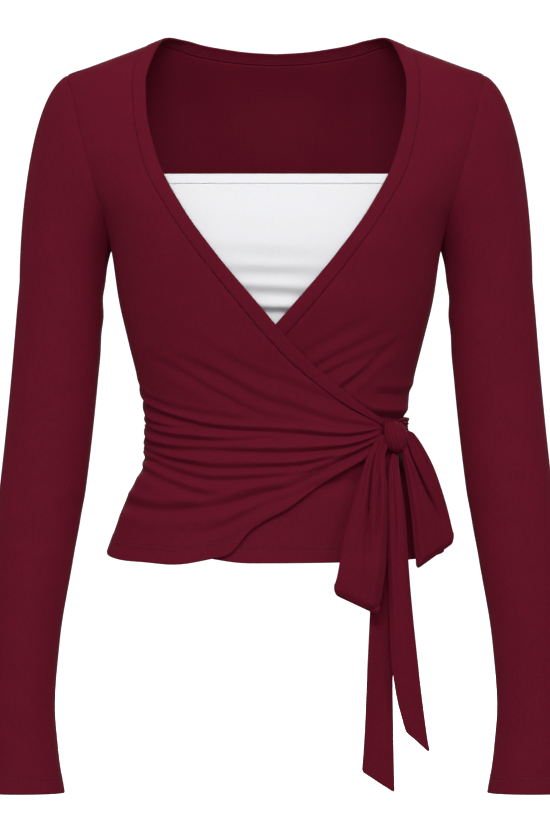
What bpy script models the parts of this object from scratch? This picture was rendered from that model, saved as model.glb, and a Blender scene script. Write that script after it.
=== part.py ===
"""A long-sleeved wrap top, hollow and held as it is worn, tied in a bow at the waist.

Metres, +Z up, the front towards -Y and the wearer's left towards +X. The origin is midway
between the two high neck points, where the shoulders hold the garment up. Heights are given
as drops below that level. Every cloth piece is a wall on one body form, whose rings are read
from the BODY table by their turn: 0 at the wearer's right side, 90 degrees at the centre
front, 180 at the left side and -90 at the centre back.
"""
from math import acos, copysign, cos, degrees, exp, pi, radians, sin

import bmesh
import bpy
from mathutils import Vector

# Driving dimensions.
JERSEY_WALL = 0.0012
INSERT_WALL = 0.0010
BAND_WALL = 0.0018
TIE_WALL = 0.0016
SEAM_GAP = 0.00035
FULLNESS = 2.4
UNDER_LAYER = 0.0008
OUTER_LAYER = 0.0054
INSERT_LAYER = -0.0027
WRAP_POINT_DROP = 0.250
WRAP_BLEND = 0.030
HEM_DROP = 0.452
SHOULDER_END_DROP = 0.0346
UNDERARM_DROP = 0.186
KNOT_TURN = 139.5
SLIT_TURN = 174.0
SLIT_DROP = 0.352
BACK_NECK_DROP = 0.0132
BACK_BAND_WIDTH = 0.0092
INSERT_TOP_DROP = 0.1215
INSERT_BAND = 0.0085
INSERT_HEM_DROP = 0.292

WINE = (0.13, 0.009, 0.022)
WHITE = (0.82, 0.82, 0.84)

# Rings of the body form.
BODY = (
    # drop, half width, front depth, back depth
    (0.0000, 0.0890, 0.012, 0.030),
    (0.0100, 0.1162, 0.032, 0.046),
    (0.0280, 0.1647, 0.055, 0.059),
    (0.0346, 0.1825, 0.062, 0.064),
    (0.0450, 0.1905, 0.070, 0.071),
    (0.0610, 0.1960, 0.080, 0.079),
    (0.0950, 0.1910, 0.097, 0.089),
    (0.1160, 0.1820, 0.107, 0.093),
    (0.1430, 0.1660, 0.118, 0.096),
    (0.1630, 0.1520, 0.125, 0.096),
    (0.1860, 0.1440, 0.129, 0.094),
    (0.2310, 0.1370, 0.123, 0.088),
    (0.2670, 0.1290, 0.110, 0.082),
    (0.3020, 0.1210, 0.097, 0.077),
    (0.3450, 0.1135, 0.088, 0.075),
    (0.3720, 0.1150, 0.089, 0.079),
    (0.4070, 0.1300, 0.094, 0.089),
    (0.4520, 0.1465, 0.098, 0.099),
)
# The nape stands up between the shoulder seams and the centre back.
NAPE_RISE = (
    # turn round the back in degrees, rise
    (0.0, 0.0),
    (12.0, 0.0016),
    (25.0, 0.0046),
    (38.0, 0.0062),
    (50.0, 0.0064),
    (62.0, 0.0045),
    (72.0, 0.0030),
    (81.0, 0.0012),
    (90.0, 0.0),
)
NAPE_FADE = (0.004, 0.034)

ARMHOLE_MIDDLE = (-0.150, 0.0, -0.115)
# The armhole's edge: how far round from the side line it lies, front and back.
ARMHOLE = (
    # drop, turn in degrees
    (0.0346, 0.0),
    (0.0380, 12.0),
    (0.0450, 21.0),
    (0.0610, 29.0),
    (0.0950, 31.0),
    (0.1160, 29.5),
    (0.1430, 23.2),
    (0.1630, 14.0),
    (0.1760, 7.0),
    (0.1860, 0.0),
)

# The right neckline from the shoulder to the knot: the band's free edge and its seam.
NECKLINE = (
    # edge x, edge drop, seam x, seam drop
    (-0.1010, 0.0044, -0.1129, 0.0088),
    (-0.1080, 0.0200, -0.1215, 0.0215),
    (-0.1135, 0.0430, -0.1253, 0.0440),
    (-0.1125, 0.0680, -0.1240, 0.0700),
    (-0.1027, 0.1098, -0.1150, 0.1130),
    (-0.0819, 0.1511, -0.0915, 0.1580),
    (-0.0518, 0.1933, -0.0612, 0.2005),
    (-0.0162, 0.2354, -0.0255, 0.2440),
    (0.0239, 0.2795, 0.0160, 0.2885),
    (0.0590, 0.3115, 0.0525, 0.3187),
    (0.0905, 0.3370, 0.0880, 0.3412),
)
NECK_STATIONS = len(NECKLINE) - 1

# Lines across the right front, from the armhole or side seam to the neckline or the knot.
# "neck" is the station of NECKLINE where a line ends, and past the last one it ends in the
# gathers at the knot. The four last columns are drops on the way, at fractions of its turn.
FRONT_FRACTIONS = (0.0, 0.28, 0.55, 0.64, 0.74, 1.0)
RIGHT_FRONT = (
    # neck, side drop, drop at 0.28, at 0.55, at 0.64, at 0.74, at the end
    (0.0, 0.0346, 0.0274, 0.0204, 0.0181, 0.0155, 0.0088),
    (2.0, 0.0610, 0.0560, 0.0509, 0.0490, 0.0475, 0.0440),
    (3.1, 0.0950, 0.0880, 0.0818, 0.0798, 0.0780, 0.0740),
    (4.3, 0.1430, 0.1370, 0.1308, 0.1290, 0.1275, 0.1260),
    (5.3, 0.1860, 0.1830, 0.1778, 0.1758, 0.1740, 0.1700),
    (6.3, 0.2310, 0.2300, 0.2248, 0.2224, 0.2200, 0.2130),
    (7.4, 0.2720, 0.2740, 0.2718, 0.2700, 0.2680, 0.2620),
    (8.4, 0.2960, 0.3050, 0.3080, 0.3065, 0.3040, 0.3010),
    (9.2, 0.3080, 0.3220, 0.3320, 0.3318, 0.3300, 0.3240),
    (10.0, 0.3160, 0.3330, 0.3455, 0.3470, 0.3475, 0.3412),
    (11.0, 0.3380, 0.3490, 0.3532, 0.3548, 0.3560, 0.3455),
    (12.0, 0.3605, 0.3700, 0.3786, 0.3750, 0.3690, 0.3500),
    (13.0, 0.3840, 0.3930, 0.4010, 0.3930, 0.3810, 0.3540),
    (14.0, 0.4230, 0.4330, 0.4310, 0.4090, 0.3890, 0.3575),
    (15.0, 0.4520, 0.4610, 0.4545, 0.4215, 0.3950, 0.3605),
)
# The left front is its mirror image down to the waist, and goes on under the right front to
# the slit in the right side seam.
LEFT_FRONT = RIGHT_FRONT[:7] + (
    (8.4, 0.2960, 0.3000, 0.3020, 0.3015, 0.3010, 0.3010),
    (9.2, 0.3120, 0.3170, 0.3212, 0.3222, 0.3230, 0.3240),
    (10.0, 0.3240, 0.3310, 0.3372, 0.3388, 0.3400, 0.3412),
    (11.0, 0.3450, 0.3520, 0.3578, 0.3576, 0.3570, 0.3480),
    (12.0, 0.3700, 0.3780, 0.3830, 0.3812, 0.3780, 0.3520),
    (13.0, 0.3980, 0.4060, 0.4118, 0.4090, 0.4040, 0.3560),
    (14.0, 0.4270, 0.4350, 0.4395, 0.4350, 0.4280, 0.3600),
    (15.0, 0.4520, 0.4590, 0.4612, 0.4560, 0.4500, 0.3640),
)

# The largest folds across the right front, fanning from the knot to the right side seam.
FOLD_TURNS = (0.0, 40.0, 77.0, 105.0, KNOT_TURN)
RIGHT_FOLDS = (
    # drops at the FOLD_TURNS, depth, half width, first turn, last turn
    (0.3160, 0.3330, 0.3465, 0.3495, 0.3478, -0.0030, 0.0060, -8.0, 126.0),
    (0.3230, 0.3390, 0.3510, 0.3540, 0.3490, 0.0022, 0.0050, -8.0, 122.0),
    (0.3420, 0.3520, 0.3550, 0.3629, 0.3509, -0.0022, 0.0050, -8.0, 130.0),
    (0.3490, 0.3570, 0.3600, 0.3650, 0.3513, 0.0016, 0.0050, -8.0, 130.0),
    (0.3605, 0.3722, 0.3815, 0.3694, 0.3531, -0.0026, 0.0070, -8.0, 130.0),
    (0.3720, 0.3830, 0.3900, 0.3750, 0.3543, 0.0020, 0.0080, -8.0, 130.0),
    (0.3900, 0.4005, 0.4100, 0.3850, 0.3570, -0.0018, 0.0100, -4.0, 125.0),
)
# Shallower folds in the left front, from under the wrap towards its side seam.
LEFT_FOLDS = (
    (0.2900, 0.2990, 0.3150, 0.3250, 0.3330, -0.0010, 0.0060, 6.0, 80.0),
    (0.3290, 0.3330, 0.3420, 0.3450, 0.3450, -0.0014, 0.0070, -4.0, 60.0),
)
BACK_FOLDS = (
    # drops at the FOLD_TURNS from the right side, depth, half width, first and last turn
    (0.3160, 0.3240, 0.3330, 0.3330, 0.3300, -0.0022, 0.0060, -8.0, 60.0),
    (0.3700, 0.3640, 0.3600, 0.3600, 0.3600, -0.0018, 0.0070, -8.0, 70.0),
)

# Rings of a sleeve below the underarm. The cuff flares a little.
SLEEVE = (
    # drop, centre x, half width, half depth, centre y
    (0.2150, 0.1880, 0.0372, 0.0440, 0.001),
    (0.2500, 0.1905, 0.0378, 0.0425, 0.000),
    (0.3200, 0.1965, 0.0378, 0.0405, -0.004),
    (0.3900, 0.2040, 0.0375, 0.0395, -0.011),
    (0.4600, 0.2135, 0.0350, 0.0375, -0.020),
    (0.5300, 0.2210, 0.0312, 0.0340, -0.028),
    (0.5850, 0.2235, 0.0298, 0.0315, -0.033),
    (0.6250, 0.2235, 0.0325, 0.0320, -0.036),
    (0.6630, 0.2226, 0.0372, 0.0345, -0.038),
)

# Ribbons of the tie: rows from the knot downwards. They hang where these rows say, or
# further out where the fronts are in the way.
LOOP_INNER = (
    # drop, left x, right x, left y, right y
    (0.3600, 0.0829, 0.0975, -0.0735, -0.0705),
    (0.3690, 0.0798, 0.0950, -0.0790, -0.0745),
    (0.3810, 0.0754, 0.0953, -0.0860, -0.0820),
    (0.3930, 0.0715, 0.0966, -0.0930, -0.0890),
    (0.4180, 0.0647, 0.0962, -0.1040, -0.1000),
    (0.4500, 0.0576, 0.0949, -0.1115, -0.1085),
    (0.4750, 0.0537, 0.0916, -0.1150, -0.1130),
    (0.4905, 0.0507, 0.0890, -0.1160, -0.1150),
)
LOOP_OUTER = (
    (0.3490, 0.1151, 0.1190, -0.0640, -0.0540),
    (0.3555, 0.1150, 0.1240, -0.0665, -0.0520),
    (0.3630, 0.1142, 0.1285, -0.0690, -0.0505),
    (0.3800, 0.1122, 0.1366, -0.0755, -0.0508),
    (0.4000, 0.1136, 0.1430, -0.0815, -0.0525),
    (0.4200, 0.1163, 0.1481, -0.0855, -0.0545),
    (0.4400, 0.1195, 0.1524, -0.0868, -0.0558),
    (0.4497, 0.1218, 0.1543, -0.0870, -0.0560),
)
TAIL_LONG = (
    (0.3648, 0.0945, 0.1005, -0.0655, -0.0635),
    (0.3930, 0.0860, 0.0990, -0.0830, -0.0770),
    (0.4450, 0.0838, 0.0990, -0.0975, -0.0925),
    (0.5055, 0.0813, 0.1005, -0.1015, -0.0985),
    (0.5315, 0.0800, 0.1008, -0.1020, -0.1000),
    (0.5660, 0.0783, 0.1008, -0.1020, -0.1005),
    (0.6005, 0.0769, 0.1013, -0.1020, -0.1010),
    (0.6413, 0.0745, 0.1024, -0.1010, -0.1020),
)
TAIL_SHORT = (
    (0.3665, 0.1008, 0.1060, -0.0710, -0.0670),
    (0.3760, 0.0985, 0.1062, -0.0810, -0.0760),
    (0.3880, 0.0969, 0.1076, -0.0920, -0.0860),
    (0.4190, 0.0961, 0.1113, -0.1050, -0.1010),
    (0.4450, 0.0964, 0.1130, -0.1100, -0.1060),
    (0.4790, 0.0974, 0.1155, -0.1135, -0.1095),
    (0.5070, 0.0981, 0.1181, -0.1145, -0.1110),
    (0.5400, 0.0993, 0.1218, -0.1150, -0.1120),
    (0.5740, 0.1036, 0.1270, -0.1150, -0.1120),
    (0.6060, 0.1121, 0.1324, -0.1140, -0.1120),
)
# The tie from inside the slit in the right side seam, round the back, to the knot.
TIE_BACK = (
    # turn round the back in degrees, drop, half width, out
    (-5.2, 0.3520, 0.0095, -0.0008),
    (-2.4, 0.3520, 0.0100, 0.0003),
    (0.0, 0.3520, 0.0105, 0.0026),
    (8.0, 0.3520, 0.0115, 0.0033),
    (45.0, 0.3510, 0.0170, 0.0032),
    (90.0, 0.3500, 0.0190, 0.0030),
    (135.0, 0.3480, 0.0160, 0.0030),
    (180.0, 0.3425, 0.0080, 0.0036),
    (203.0, 0.3405, 0.0055, 0.0050),
)
KNOT_CENTRE = (0.1041, -0.0662, -0.3522)
KNOT_HALF = (0.0095, 0.0120, 0.0144)


def curve(keys, values):
    """A smooth function through the points that never overshoots between two of them."""
    gaps = [after - before for before, after in zip(keys, keys[1:])]
    rises = [(after - before) / gap for before, after, gap in zip(values, values[1:], gaps)]
    slopes = [rises[0]]
    for before, after in zip(rises, rises[1:]):
        slopes.append(0.0 if before * after <= 0 else 2 * before * after / (before + after))
    slopes.append(rises[-1])

    def at(key):
        if key <= keys[0]:
            return values[0] + slopes[0] * (key - keys[0])
        if key >= keys[-1]:
            return values[-1] + slopes[-1] * (key - keys[-1])
        place = next(i for i in range(len(gaps)) if key <= keys[i + 1])
        gap = gaps[place]
        part = (key - keys[place]) / gap
        rest = 1 - part
        ends = values[place] * (1 + 2 * part) * rest ** 2 + values[place + 1] * (3 - 2 * part) * part ** 2
        bends = slopes[place] * part * rest ** 2 - slopes[place + 1] * part ** 2 * rest
        return ends + gap * bends

    return at


def columns(table, first=0):
    """One smooth function for each column of a table, over its column `first`."""
    keys, *rest = zip(*table)
    return [curve(keys, values) for values in rest[first:]]


half_width, front_depth, back_depth = columns(BODY)
(armhole_turn,) = columns(ARMHOLE)
neck_tracks = [curve(range(len(NECKLINE)), values) for values in zip(*NECKLINE)]
(nape_height,) = columns(NAPE_RISE)


def ramp(value, low, high):
    """Rise smoothly from 0 at low to 1 at high."""
    part = min(max((value - low) / (high - low), 0.0), 1.0)
    return part * part * (3 - 2 * part)


def nape_edge(turn):
    """The drop of the ring on which the neck's free edge lies, round the back."""
    edge_drop = NECKLINE[0][1]
    return edge_drop + (BACK_NECK_DROP - edge_drop) * abs(sin(turn)) ** 2.5


def nape_seam(turn):
    """The drop of the ring on which the seam of the back's neckband lies."""
    at_side = NECKLINE[0][3] - NECKLINE[0][1]
    return nape_edge(turn) + at_side + (BACK_BAND_WIDTH - at_side) * sin(turn) ** 4


def nape_rise(turn, drop):
    """How far the back stands above its ring, next to the neck."""
    from_edge = drop - nape_edge(turn)
    return nape_height(degrees(acos(abs(cos(turn))))) * (1 - ramp(from_edge, *NAPE_FADE))


def form(turn, drop):
    """The point of the body form at a turn, in radians, and a drop."""
    across, along = cos(turn), sin(turn)
    depth = front_depth(drop) if along >= 0 else back_depth(drop)
    power = 2 / FULLNESS
    x = -half_width(drop) * copysign(abs(across) ** power, across)
    y = -depth * copysign(abs(along) ** power, along)
    rise = nape_rise(turn, drop) if along < 0 else 0.0
    return Vector((x, y, rise - drop))


def outward(turn, drop):
    """The unit normal of the body form."""
    turn_step, drop_step = 0.024, 0.003
    around = form(turn + turn_step, drop) - form(turn - turn_step, drop)
    down = form(turn, drop + drop_step) - form(turn, drop - drop_step)
    return down.cross(around).normalized()


def skin(turn, drop, out):
    """A point of cloth that lies `out` from the body form, and the form's normal there."""
    normal = outward(turn, drop)
    return form(turn, drop) + out * normal, normal


def turn_at(x, drop):
    """The turn, over the front, at which the form's ring has this x."""
    across = min(max(-x / half_width(drop), -1.0), 1.0)
    return acos(copysign(abs(across) ** (FULLNESS / 2), across))


def folds(table, turn, drop):
    """How far the folds of a table move the cloth out, negative for troughs."""
    degrees_round = degrees(turn)
    out = 0.0
    for row in table:
        depth, spread, first, last = row[5:]
        middle = curve(FOLD_TURNS, row[:5])(degrees_round)
        fade = ramp(degrees_round, first, first + 14) * (1 - ramp(degrees_round, last - 14, last))
        out += depth * fade * exp(-((drop - middle) / spread) ** 2)
    return out


def add_object(name, points, faces, material):
    """A named, smooth-shaded object whose faces all point out."""
    mesh = bpy.data.meshes.new(name)
    mesh.from_pydata([tuple(point) for point in points], [], faces)
    shape = bmesh.new()
    shape.from_mesh(mesh)
    bmesh.ops.recalc_face_normals(shape, faces=shape.faces)
    shape.to_mesh(mesh)
    shape.free()
    mesh.shade_smooth()
    mesh.set_sharp_from_angle(angle=radians(50))
    mesh.materials.append(material)
    piece = bpy.data.objects.new(name, mesh)
    bpy.context.collection.objects.link(piece)
    return piece


def grid_normals(grid, ring):
    """The unit normal at each point of a grid of rows, whose columns close up if ring is set."""
    last_row, last_column = len(grid) - 1, len(grid[0]) - 1
    normals = []
    for i in range(len(grid)):
        above, below = grid[max(i - 1, 0)], grid[min(i + 1, last_row)]
        line = []
        for j in range(last_column + 1):
            before = (j - 1) % (last_column + 1) if ring else max(j - 1, 0)
            after = (j + 1) % (last_column + 1) if ring else min(j + 1, last_column)
            normal = (below[j] - above[j]).cross(grid[i][after] - grid[i][before])
            line.append(normal.normalized())
        normals.append(line)
    return normals


def skin_wall(name, grid, thickness, material, side, mitre=()):
    """A cloth wall on a grid of (point, normal) pairs from the body form."""
    points = [[point for point, _ in row] for row in grid]
    normals = [[normal for _, normal in row] for row in grid]
    for i, j, normal in mitre:
        normals[i][j] = normal
    return wall(name, points, normals, thickness, material, side=side)


def wall(name, grid, normals, thickness, material, ring=False, side=0):
    """A cloth wall on a grid of middle points, thick along their normals.

    side is -1 for a piece that stays in front of the plane of the side and shoulder seams,
    1 for one behind it, and 0 for neither.
    """
    rows, count = len(grid), len(grid[0])
    points = []
    for half in (thickness / 2, -thickness / 2):
        for line, line_normals in zip(grid, normals):
            points += [point + half * normal for point, normal in zip(line, line_normals)]
    if side:
        for point in points:
            point.y = side * max(side * point.y, SEAM_GAP / 2)

    def index(layer, i, j):
        return (layer * rows + i) * count + j % count

    faces = []
    spans = count if ring else count - 1
    for i in range(rows - 1):
        for j in range(spans):
            outer = [index(0, i, j), index(0, i, j + 1), index(0, i + 1, j + 1), index(0, i + 1, j)]
            inner = [index(1, i, j), index(1, i + 1, j), index(1, i + 1, j + 1), index(1, i, j + 1)]
            faces += [outer, inner]
    for i in (0, rows - 1):
        for j in range(spans):
            faces.append([index(0, i, j), index(1, i, j), index(1, i, j + 1), index(0, i, j + 1)])
    if not ring:
        for j in (0, count - 1):
            for i in range(rows - 1):
                faces.append([index(0, i, j), index(0, i + 1, j), index(1, i + 1, j), index(1, i, j)])
    return add_object(name, points, faces, material)


def spread(low, high, count):
    """Evenly spaced numbers from low to high, with count steps."""
    return [low + (high - low) * i / count for i in range(count + 1)]


FRONT_LINES = spread(0, 4, 10)[:-1] + spread(4, 9, 6)[:-1] + spread(9, 14, 8)
SIDE_DROPS = [curve(range(len(RIGHT_FRONT)), [row[1] for row in RIGHT_FRONT])(line)
              for line in FRONT_LINES]
ARMHOLE_LINES = 10


def mirrored(vector):
    """The mirror image of a point or direction on the other side of the wearer."""
    return Vector((-vector.x, vector.y, vector.z))


def front_place(table, last_turn, line, part):
    """The turn and drop on a front, at a line of its table and a part of the way along it."""
    tracks = [curve(range(len(table)), values) for values in zip(*table)]
    station, *drops = [track(line) for track in tracks]
    drops[0] = SIDE_DROPS[FRONT_LINES.index(line)] if line in FRONT_LINES else drops[0]
    start = radians(armhole_turn(drops[0])) if drops[0] < UNDERARM_DROP else 0.0
    if station <= NECK_STATIONS:
        seam_x, seam_drop = neck_tracks[2](station), neck_tracks[3](station)
        end = turn_at(seam_x, seam_drop) if station > 0 else 0.0
        drops[-1] = seam_drop
    else:
        end = radians(last_turn)
    drop = curve(FRONT_FRACTIONS, drops)(part)
    return start + (end - start) * part, drop


def armhole_normal(turn, drop):
    """The direction in which the walls on both sides of the armhole seam are thick."""
    from_middle = form(turn, drop) - Vector(ARMHOLE_MIDDLE)
    from_middle.x = 0
    return (outward(turn, drop) + 0.8 * from_middle.normalized()).normalized()


def outer_layer(turn, drop):
    """How far out the right front's middle lies: on the form above the wrap, then over it."""
    wrapped = ramp(drop, WRAP_POINT_DROP - WRAP_BLEND, WRAP_POINT_DROP + WRAP_BLEND)
    over_slit = 0.85 * exp(-((drop - SLIT_DROP) / 0.028) ** 2)
    share = max(0.35 + 0.65 * ramp(turn, 0.0, 0.5), over_slit)
    return UNDER_LAYER + (OUTER_LAYER - UNDER_LAYER) * wrapped * share


def right_folds(turn, drop):
    """The right front's folds, which flatten where it bridges the slit."""
    at_slit = exp(-((drop - SLIT_DROP) / 0.020) ** 2) * (1 - ramp(turn, 0.15, 0.45))
    return (1 - 0.85 * at_slit) * folds(RIGHT_FOLDS, turn, drop)


def front_right(material):
    """The right front, which wraps over the left one and gathers into the knot."""
    parts = spread(0, 1, 13)
    grid = []
    for line in FRONT_LINES:
        places = [front_place(RIGHT_FRONT, KNOT_TURN, line, part) for part in parts]
        grid.append([skin(turn, drop, outer_layer(turn, drop) + right_folds(turn, drop))
                     for turn, drop in places])
    edge = [(i, 0, armhole_normal(*front_place(RIGHT_FRONT, KNOT_TURN, FRONT_LINES[i], 0)))
            for i in range(1, ARMHOLE_LINES)]
    return skin_wall("front_right", grid, JERSEY_WALL, material, -1, edge)


def front_left(material):
    """The left front, which passes under the right one to the slit in the right side seam."""
    parts = spread(0, 1, 14)
    grid = []
    for line in FRONT_LINES:
        row = []
        for part in parts:
            turn, drop = front_place(LEFT_FRONT, SLIT_TURN, line, part)
            hidden = ramp(turn, 1.2, 1.8) * ramp(drop, INSERT_HEM_DROP, INSERT_HEM_DROP + 0.02)
            out = UNDER_LAYER - 0.0022 * hidden + folds(LEFT_FOLDS, turn, drop)
            row.append([mirrored(vector) for vector in skin(turn, drop, out)])
        grid.append(row[::-1])
    edge = []
    for i in range(1, ARMHOLE_LINES):
        turn, drop = front_place(LEFT_FRONT, SLIT_TURN, FRONT_LINES[i], 0)
        edge.append((i, len(parts) - 1, mirrored(armhole_normal(turn, drop))))
    return skin_wall("front_left", grid, JERSEY_WALL, material, -1, edge)


def neckband(name, mirror, layer, stations, material):
    """A folded binding between the neckline's seam and its free edge."""
    grid = []
    for station in stations:
        edge_x, edge_drop, seam_x, seam_drop = [track(station) for track in neck_tracks]
        row = []
        for part in (0.0, 0.33, 0.67, 1.0):
            width = max(abs(edge_x - seam_x), abs(edge_drop - seam_drop))
            share = part + (1 - part) * SEAM_GAP / width
            x = seam_x + (edge_x - seam_x) * share
            drop = seam_drop + (edge_drop - seam_drop) * share
            turn = turn_at(x, drop) if station > 0 else 0.0
            pair = skin(turn, drop, layer(turn, drop))
            row.append([mirrored(vector) for vector in pair] if mirror else pair)
        grid.append(row[::-1] if mirror else row)
    return skin_wall(name, grid, BAND_WALL, material, -1)


def neck_stations():
    """The stations at which the lines of the right front meet its neckline."""
    track = curve(range(len(RIGHT_FRONT)), [row[0] for row in RIGHT_FRONT])
    stations = [track(line) for line in FRONT_LINES]
    return [station for station in stations if station < NECK_STATIONS] + [NECK_STATIONS]


def back_place(line, part):
    """The turn and drop on the right half of the back, from its side to the centre."""
    neck_part = 2 / 7
    side_drop = SIDE_DROPS[line]
    start = radians(armhole_turn(side_drop)) if side_drop < UNDERARM_DROP else 0.0
    turn, drop = start + (pi / 2 - start) * part, side_drop
    reach = ramp(side_drop, SHOULDER_END_DROP, 0.110)
    if reach < 1:
        if part < neck_part:
            top_turn = start
            top_drop = SHOULDER_END_DROP + (nape_seam(0) - SHOULDER_END_DROP) * part / neck_part
        else:
            round_neck = (part - neck_part) / (1 - neck_part)
            top_turn = start + (pi / 2 - start) * round_neck
            top_drop = nape_seam(pi / 2 * round_neck)
        top_drop += side_drop - SHOULDER_END_DROP
        turn = top_turn + (turn - top_turn) * reach
        drop = top_drop + (drop - top_drop) * reach
    return -turn, drop


def back_layer(turn, drop):
    """How far out the back's middle lies, with its folds at the waist."""
    if cos(turn) > 0:
        return UNDER_LAYER + folds(BACK_FOLDS, -turn, drop)
    return UNDER_LAYER + 0.6 * folds(BACK_FOLDS, pi + turn, drop)


def back(material):
    """The back, in one piece from side seam to side seam."""
    half = spread(0, 1, 7)
    grid = []
    for line in range(len(FRONT_LINES)):
        row = []
        for part in half:
            turn, drop = back_place(line, part)
            row.append(skin(turn, drop, back_layer(turn, drop)))
        for part in half[-2::-1]:
            turn, drop = back_place(line, part)
            row.append(skin(-pi - turn, drop, back_layer(-pi - turn, drop)))
        grid.append(row[::-1])
    edge = []
    for i in range(1, ARMHOLE_LINES):
        normal = armhole_normal(*back_place(i, 0))
        edge += [(i, len(half) * 2 - 2, normal), (i, 0, mirrored(normal))]
    return skin_wall("back", grid, JERSEY_WALL, material, 1, edge)


def neckband_back(material):
    """The binding round the back of the neck."""
    grid = []
    for turn in spread(0, pi, 10):
        row = []
        for part in (0.0, 0.33, 0.67, 1.0):
            share = part + (1 - part) * SEAM_GAP / BACK_BAND_WIDTH
            low, high = nape_seam(turn), nape_edge(turn)
            row.append(skin(-turn, low + (high - low) * share, UNDER_LAYER))
        grid.append(row[::-1])
    return skin_wall("neckband_back", grid, BAND_WALL, material, 1)


def armhole_loop():
    """The right armhole as turns and drops, from the shoulder over the front and back."""
    front = [front_place(RIGHT_FRONT, KNOT_TURN, line, 0) for line in FRONT_LINES[:ARMHOLE_LINES + 1]]
    behind = [(-turn, drop) for turn, drop in front[-2:0:-1]]
    return front + behind


def sleeve(name, mirror, material):
    """A sleeve from the armhole loop, round the cap and down to the cuff."""
    loop = armhole_loop()
    centre_x, half_x, half_y, centre_y = columns(SLEEVE)
    first_ring = SLEEVE[0][0]
    count = len(loop)
    rings = []
    for k in range(count):
        angle = 2 * pi * k / count
        turn, drop = loop[k]
        level = (drop - SHOULDER_END_DROP) / (UNDERARM_DROP - SHOULDER_END_DROP)
        dip = radians(20 + 14 * level + 36 * level ** 4)
        set_out = Vector((-cos(dip), 0, -sin(dip)))
        start = skin(turn, drop, UNDER_LAYER)[0] + (SEAM_GAP + 0.0005) * set_out
        end = Vector((-centre_x(first_ring) - half_x(first_ring) * cos(angle),
                      centre_y(first_ring) - half_y(first_ring) * sin(angle), -first_ring))
        reach = (end - start).length
        leave, arrive = 0.55 * reach * set_out, Vector((0, 0, -0.85 * reach))
        column = [start]
        for part in (0.12, 0.28, 0.46, 0.64, 0.82):
            rest = 1 - part
            column.append(start * (1 + 2 * part) * rest ** 2 + leave * part * rest ** 2
                          + end * (3 - 2 * part) * part ** 2 - arrive * part ** 2 * rest)
        for low in spread(first_ring, SLEEVE[-1][0], 7):
            column.append(Vector((-centre_x(low) - half_x(low) * cos(angle),
                                  centre_y(low) - half_y(low) * sin(angle), -low)))
        rings.append(column)
    grid = [list(line) for line in zip(*rings)]
    normals = grid_normals(grid, True)
    normals[0] = [armhole_normal(*place) for place in loop]
    if mirror:
        grid = [[mirrored(point) for point in line] for line in grid]
        normals = [[mirrored(normal) for normal in line] for line in normals]
    return wall(name, grid, normals, JERSEY_WALL, material, ring=True)


def insert_top(turn):
    """The drop of the insert's upper edge, which falls away to the underarm."""
    from_side = min(turn, pi - turn)
    return INSERT_TOP_DROP + (UNDERARM_DROP + 0.004 - INSERT_TOP_DROP) * (1 - ramp(from_side, 0.0, 0.75))


def insert_part(name, upper, lower, rows, material):
    """A strip of the insert between two edges, given as functions of the turn."""
    grid = []
    for share in spread(0, 1, rows):
        row = []
        for turn in spread(0.015, pi - 0.015, 14):
            drop = upper(turn) + (lower(turn) - upper(turn)) * share
            inward = 0.45 + 0.55 * ramp(min(turn, pi - turn), 0.02, 0.15)
            row.append(skin(turn, drop, inward * INSERT_LAYER))
        grid.append(row)
    return skin_wall(name, grid, INSERT_WALL, material, -1)


def insert_panel(material):
    """The plain panel that fills the neckline."""
    return insert_part("insert_panel", lambda turn: insert_top(turn) + INSERT_BAND + SEAM_GAP,
                       lambda turn: INSERT_HEM_DROP, 6, material)


def insert_band(material):
    """The band along the insert's upper edge."""
    return insert_part("insert_band", insert_top, lambda turn: insert_top(turn) + INSERT_BAND,
                       1, material)


def ribbon_row(tracks, drop, lean, out, clearance):
    """The points across a ribbon at a drop: out is towards the front, lean bows its middle."""
    left_x, right_x, left_y, right_y = [track(drop) for track in tracks]
    row = []
    for part in spread(0, 1, 4):
        x = left_x + (right_x - left_x) * part
        y = left_y + (right_y - left_y) * part
        level = min(drop, HEM_DROP)
        if abs(x) < half_width(level):
            y = min(y, form(turn_at(x, level), level).y - clearance)
        row.append(Vector((x, y - lean * sin(pi * part) - out, -drop)))
    return row


def tail(name, table, slant, clearance, material):
    """A free end of the tie, cut at a slant."""
    tracks = columns(table)
    first, last = table[0][0], table[-1][0]
    grid = []
    for drop in spread(first, last, 11):
        row = ribbon_row(tracks, drop, 0.002, 0, clearance)
        share = ramp(drop, last - 0.08, last)
        for j, point in enumerate(row):
            point.z -= slant * share * j / (len(row) - 1)
        grid.append(row)
    return wall(name, grid, grid_normals(grid, False), TIE_WALL, material)


def loop(name, table, depth, slant, clearance, material):
    """A bow loop: down its back layer, round the fold at its end and up its front layer."""
    tracks = columns(table)
    first, last = table[0][0], table[-1][0]
    levels = spread(first, last, 8)
    grid = []
    for drop in levels:
        grid.append(ribbon_row(tracks, drop, 0.001, 0, clearance))
    for angle in (0.35 * pi, 0.65 * pi):
        grid.append(ribbon_row(tracks, last + depth / 2 * sin(angle), 0.001,
                               depth / 2 * (1 - cos(angle)), clearance))
    for drop in levels[::-1]:
        near = 0.0042 + (depth - 0.0042) * ramp(drop, first, first + 0.03)
        grid.append(ribbon_row(tracks, drop, 0.003, near, clearance))
    for row in grid:
        for j, point in enumerate(row):
            share = ramp(-point.z, last - 0.10, last)
            point.z += slant * share * (1 - 2 * j / (len(row) - 1)) / 2
    return wall(name, grid, grid_normals(grid, False), TIE_WALL, material)


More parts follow.
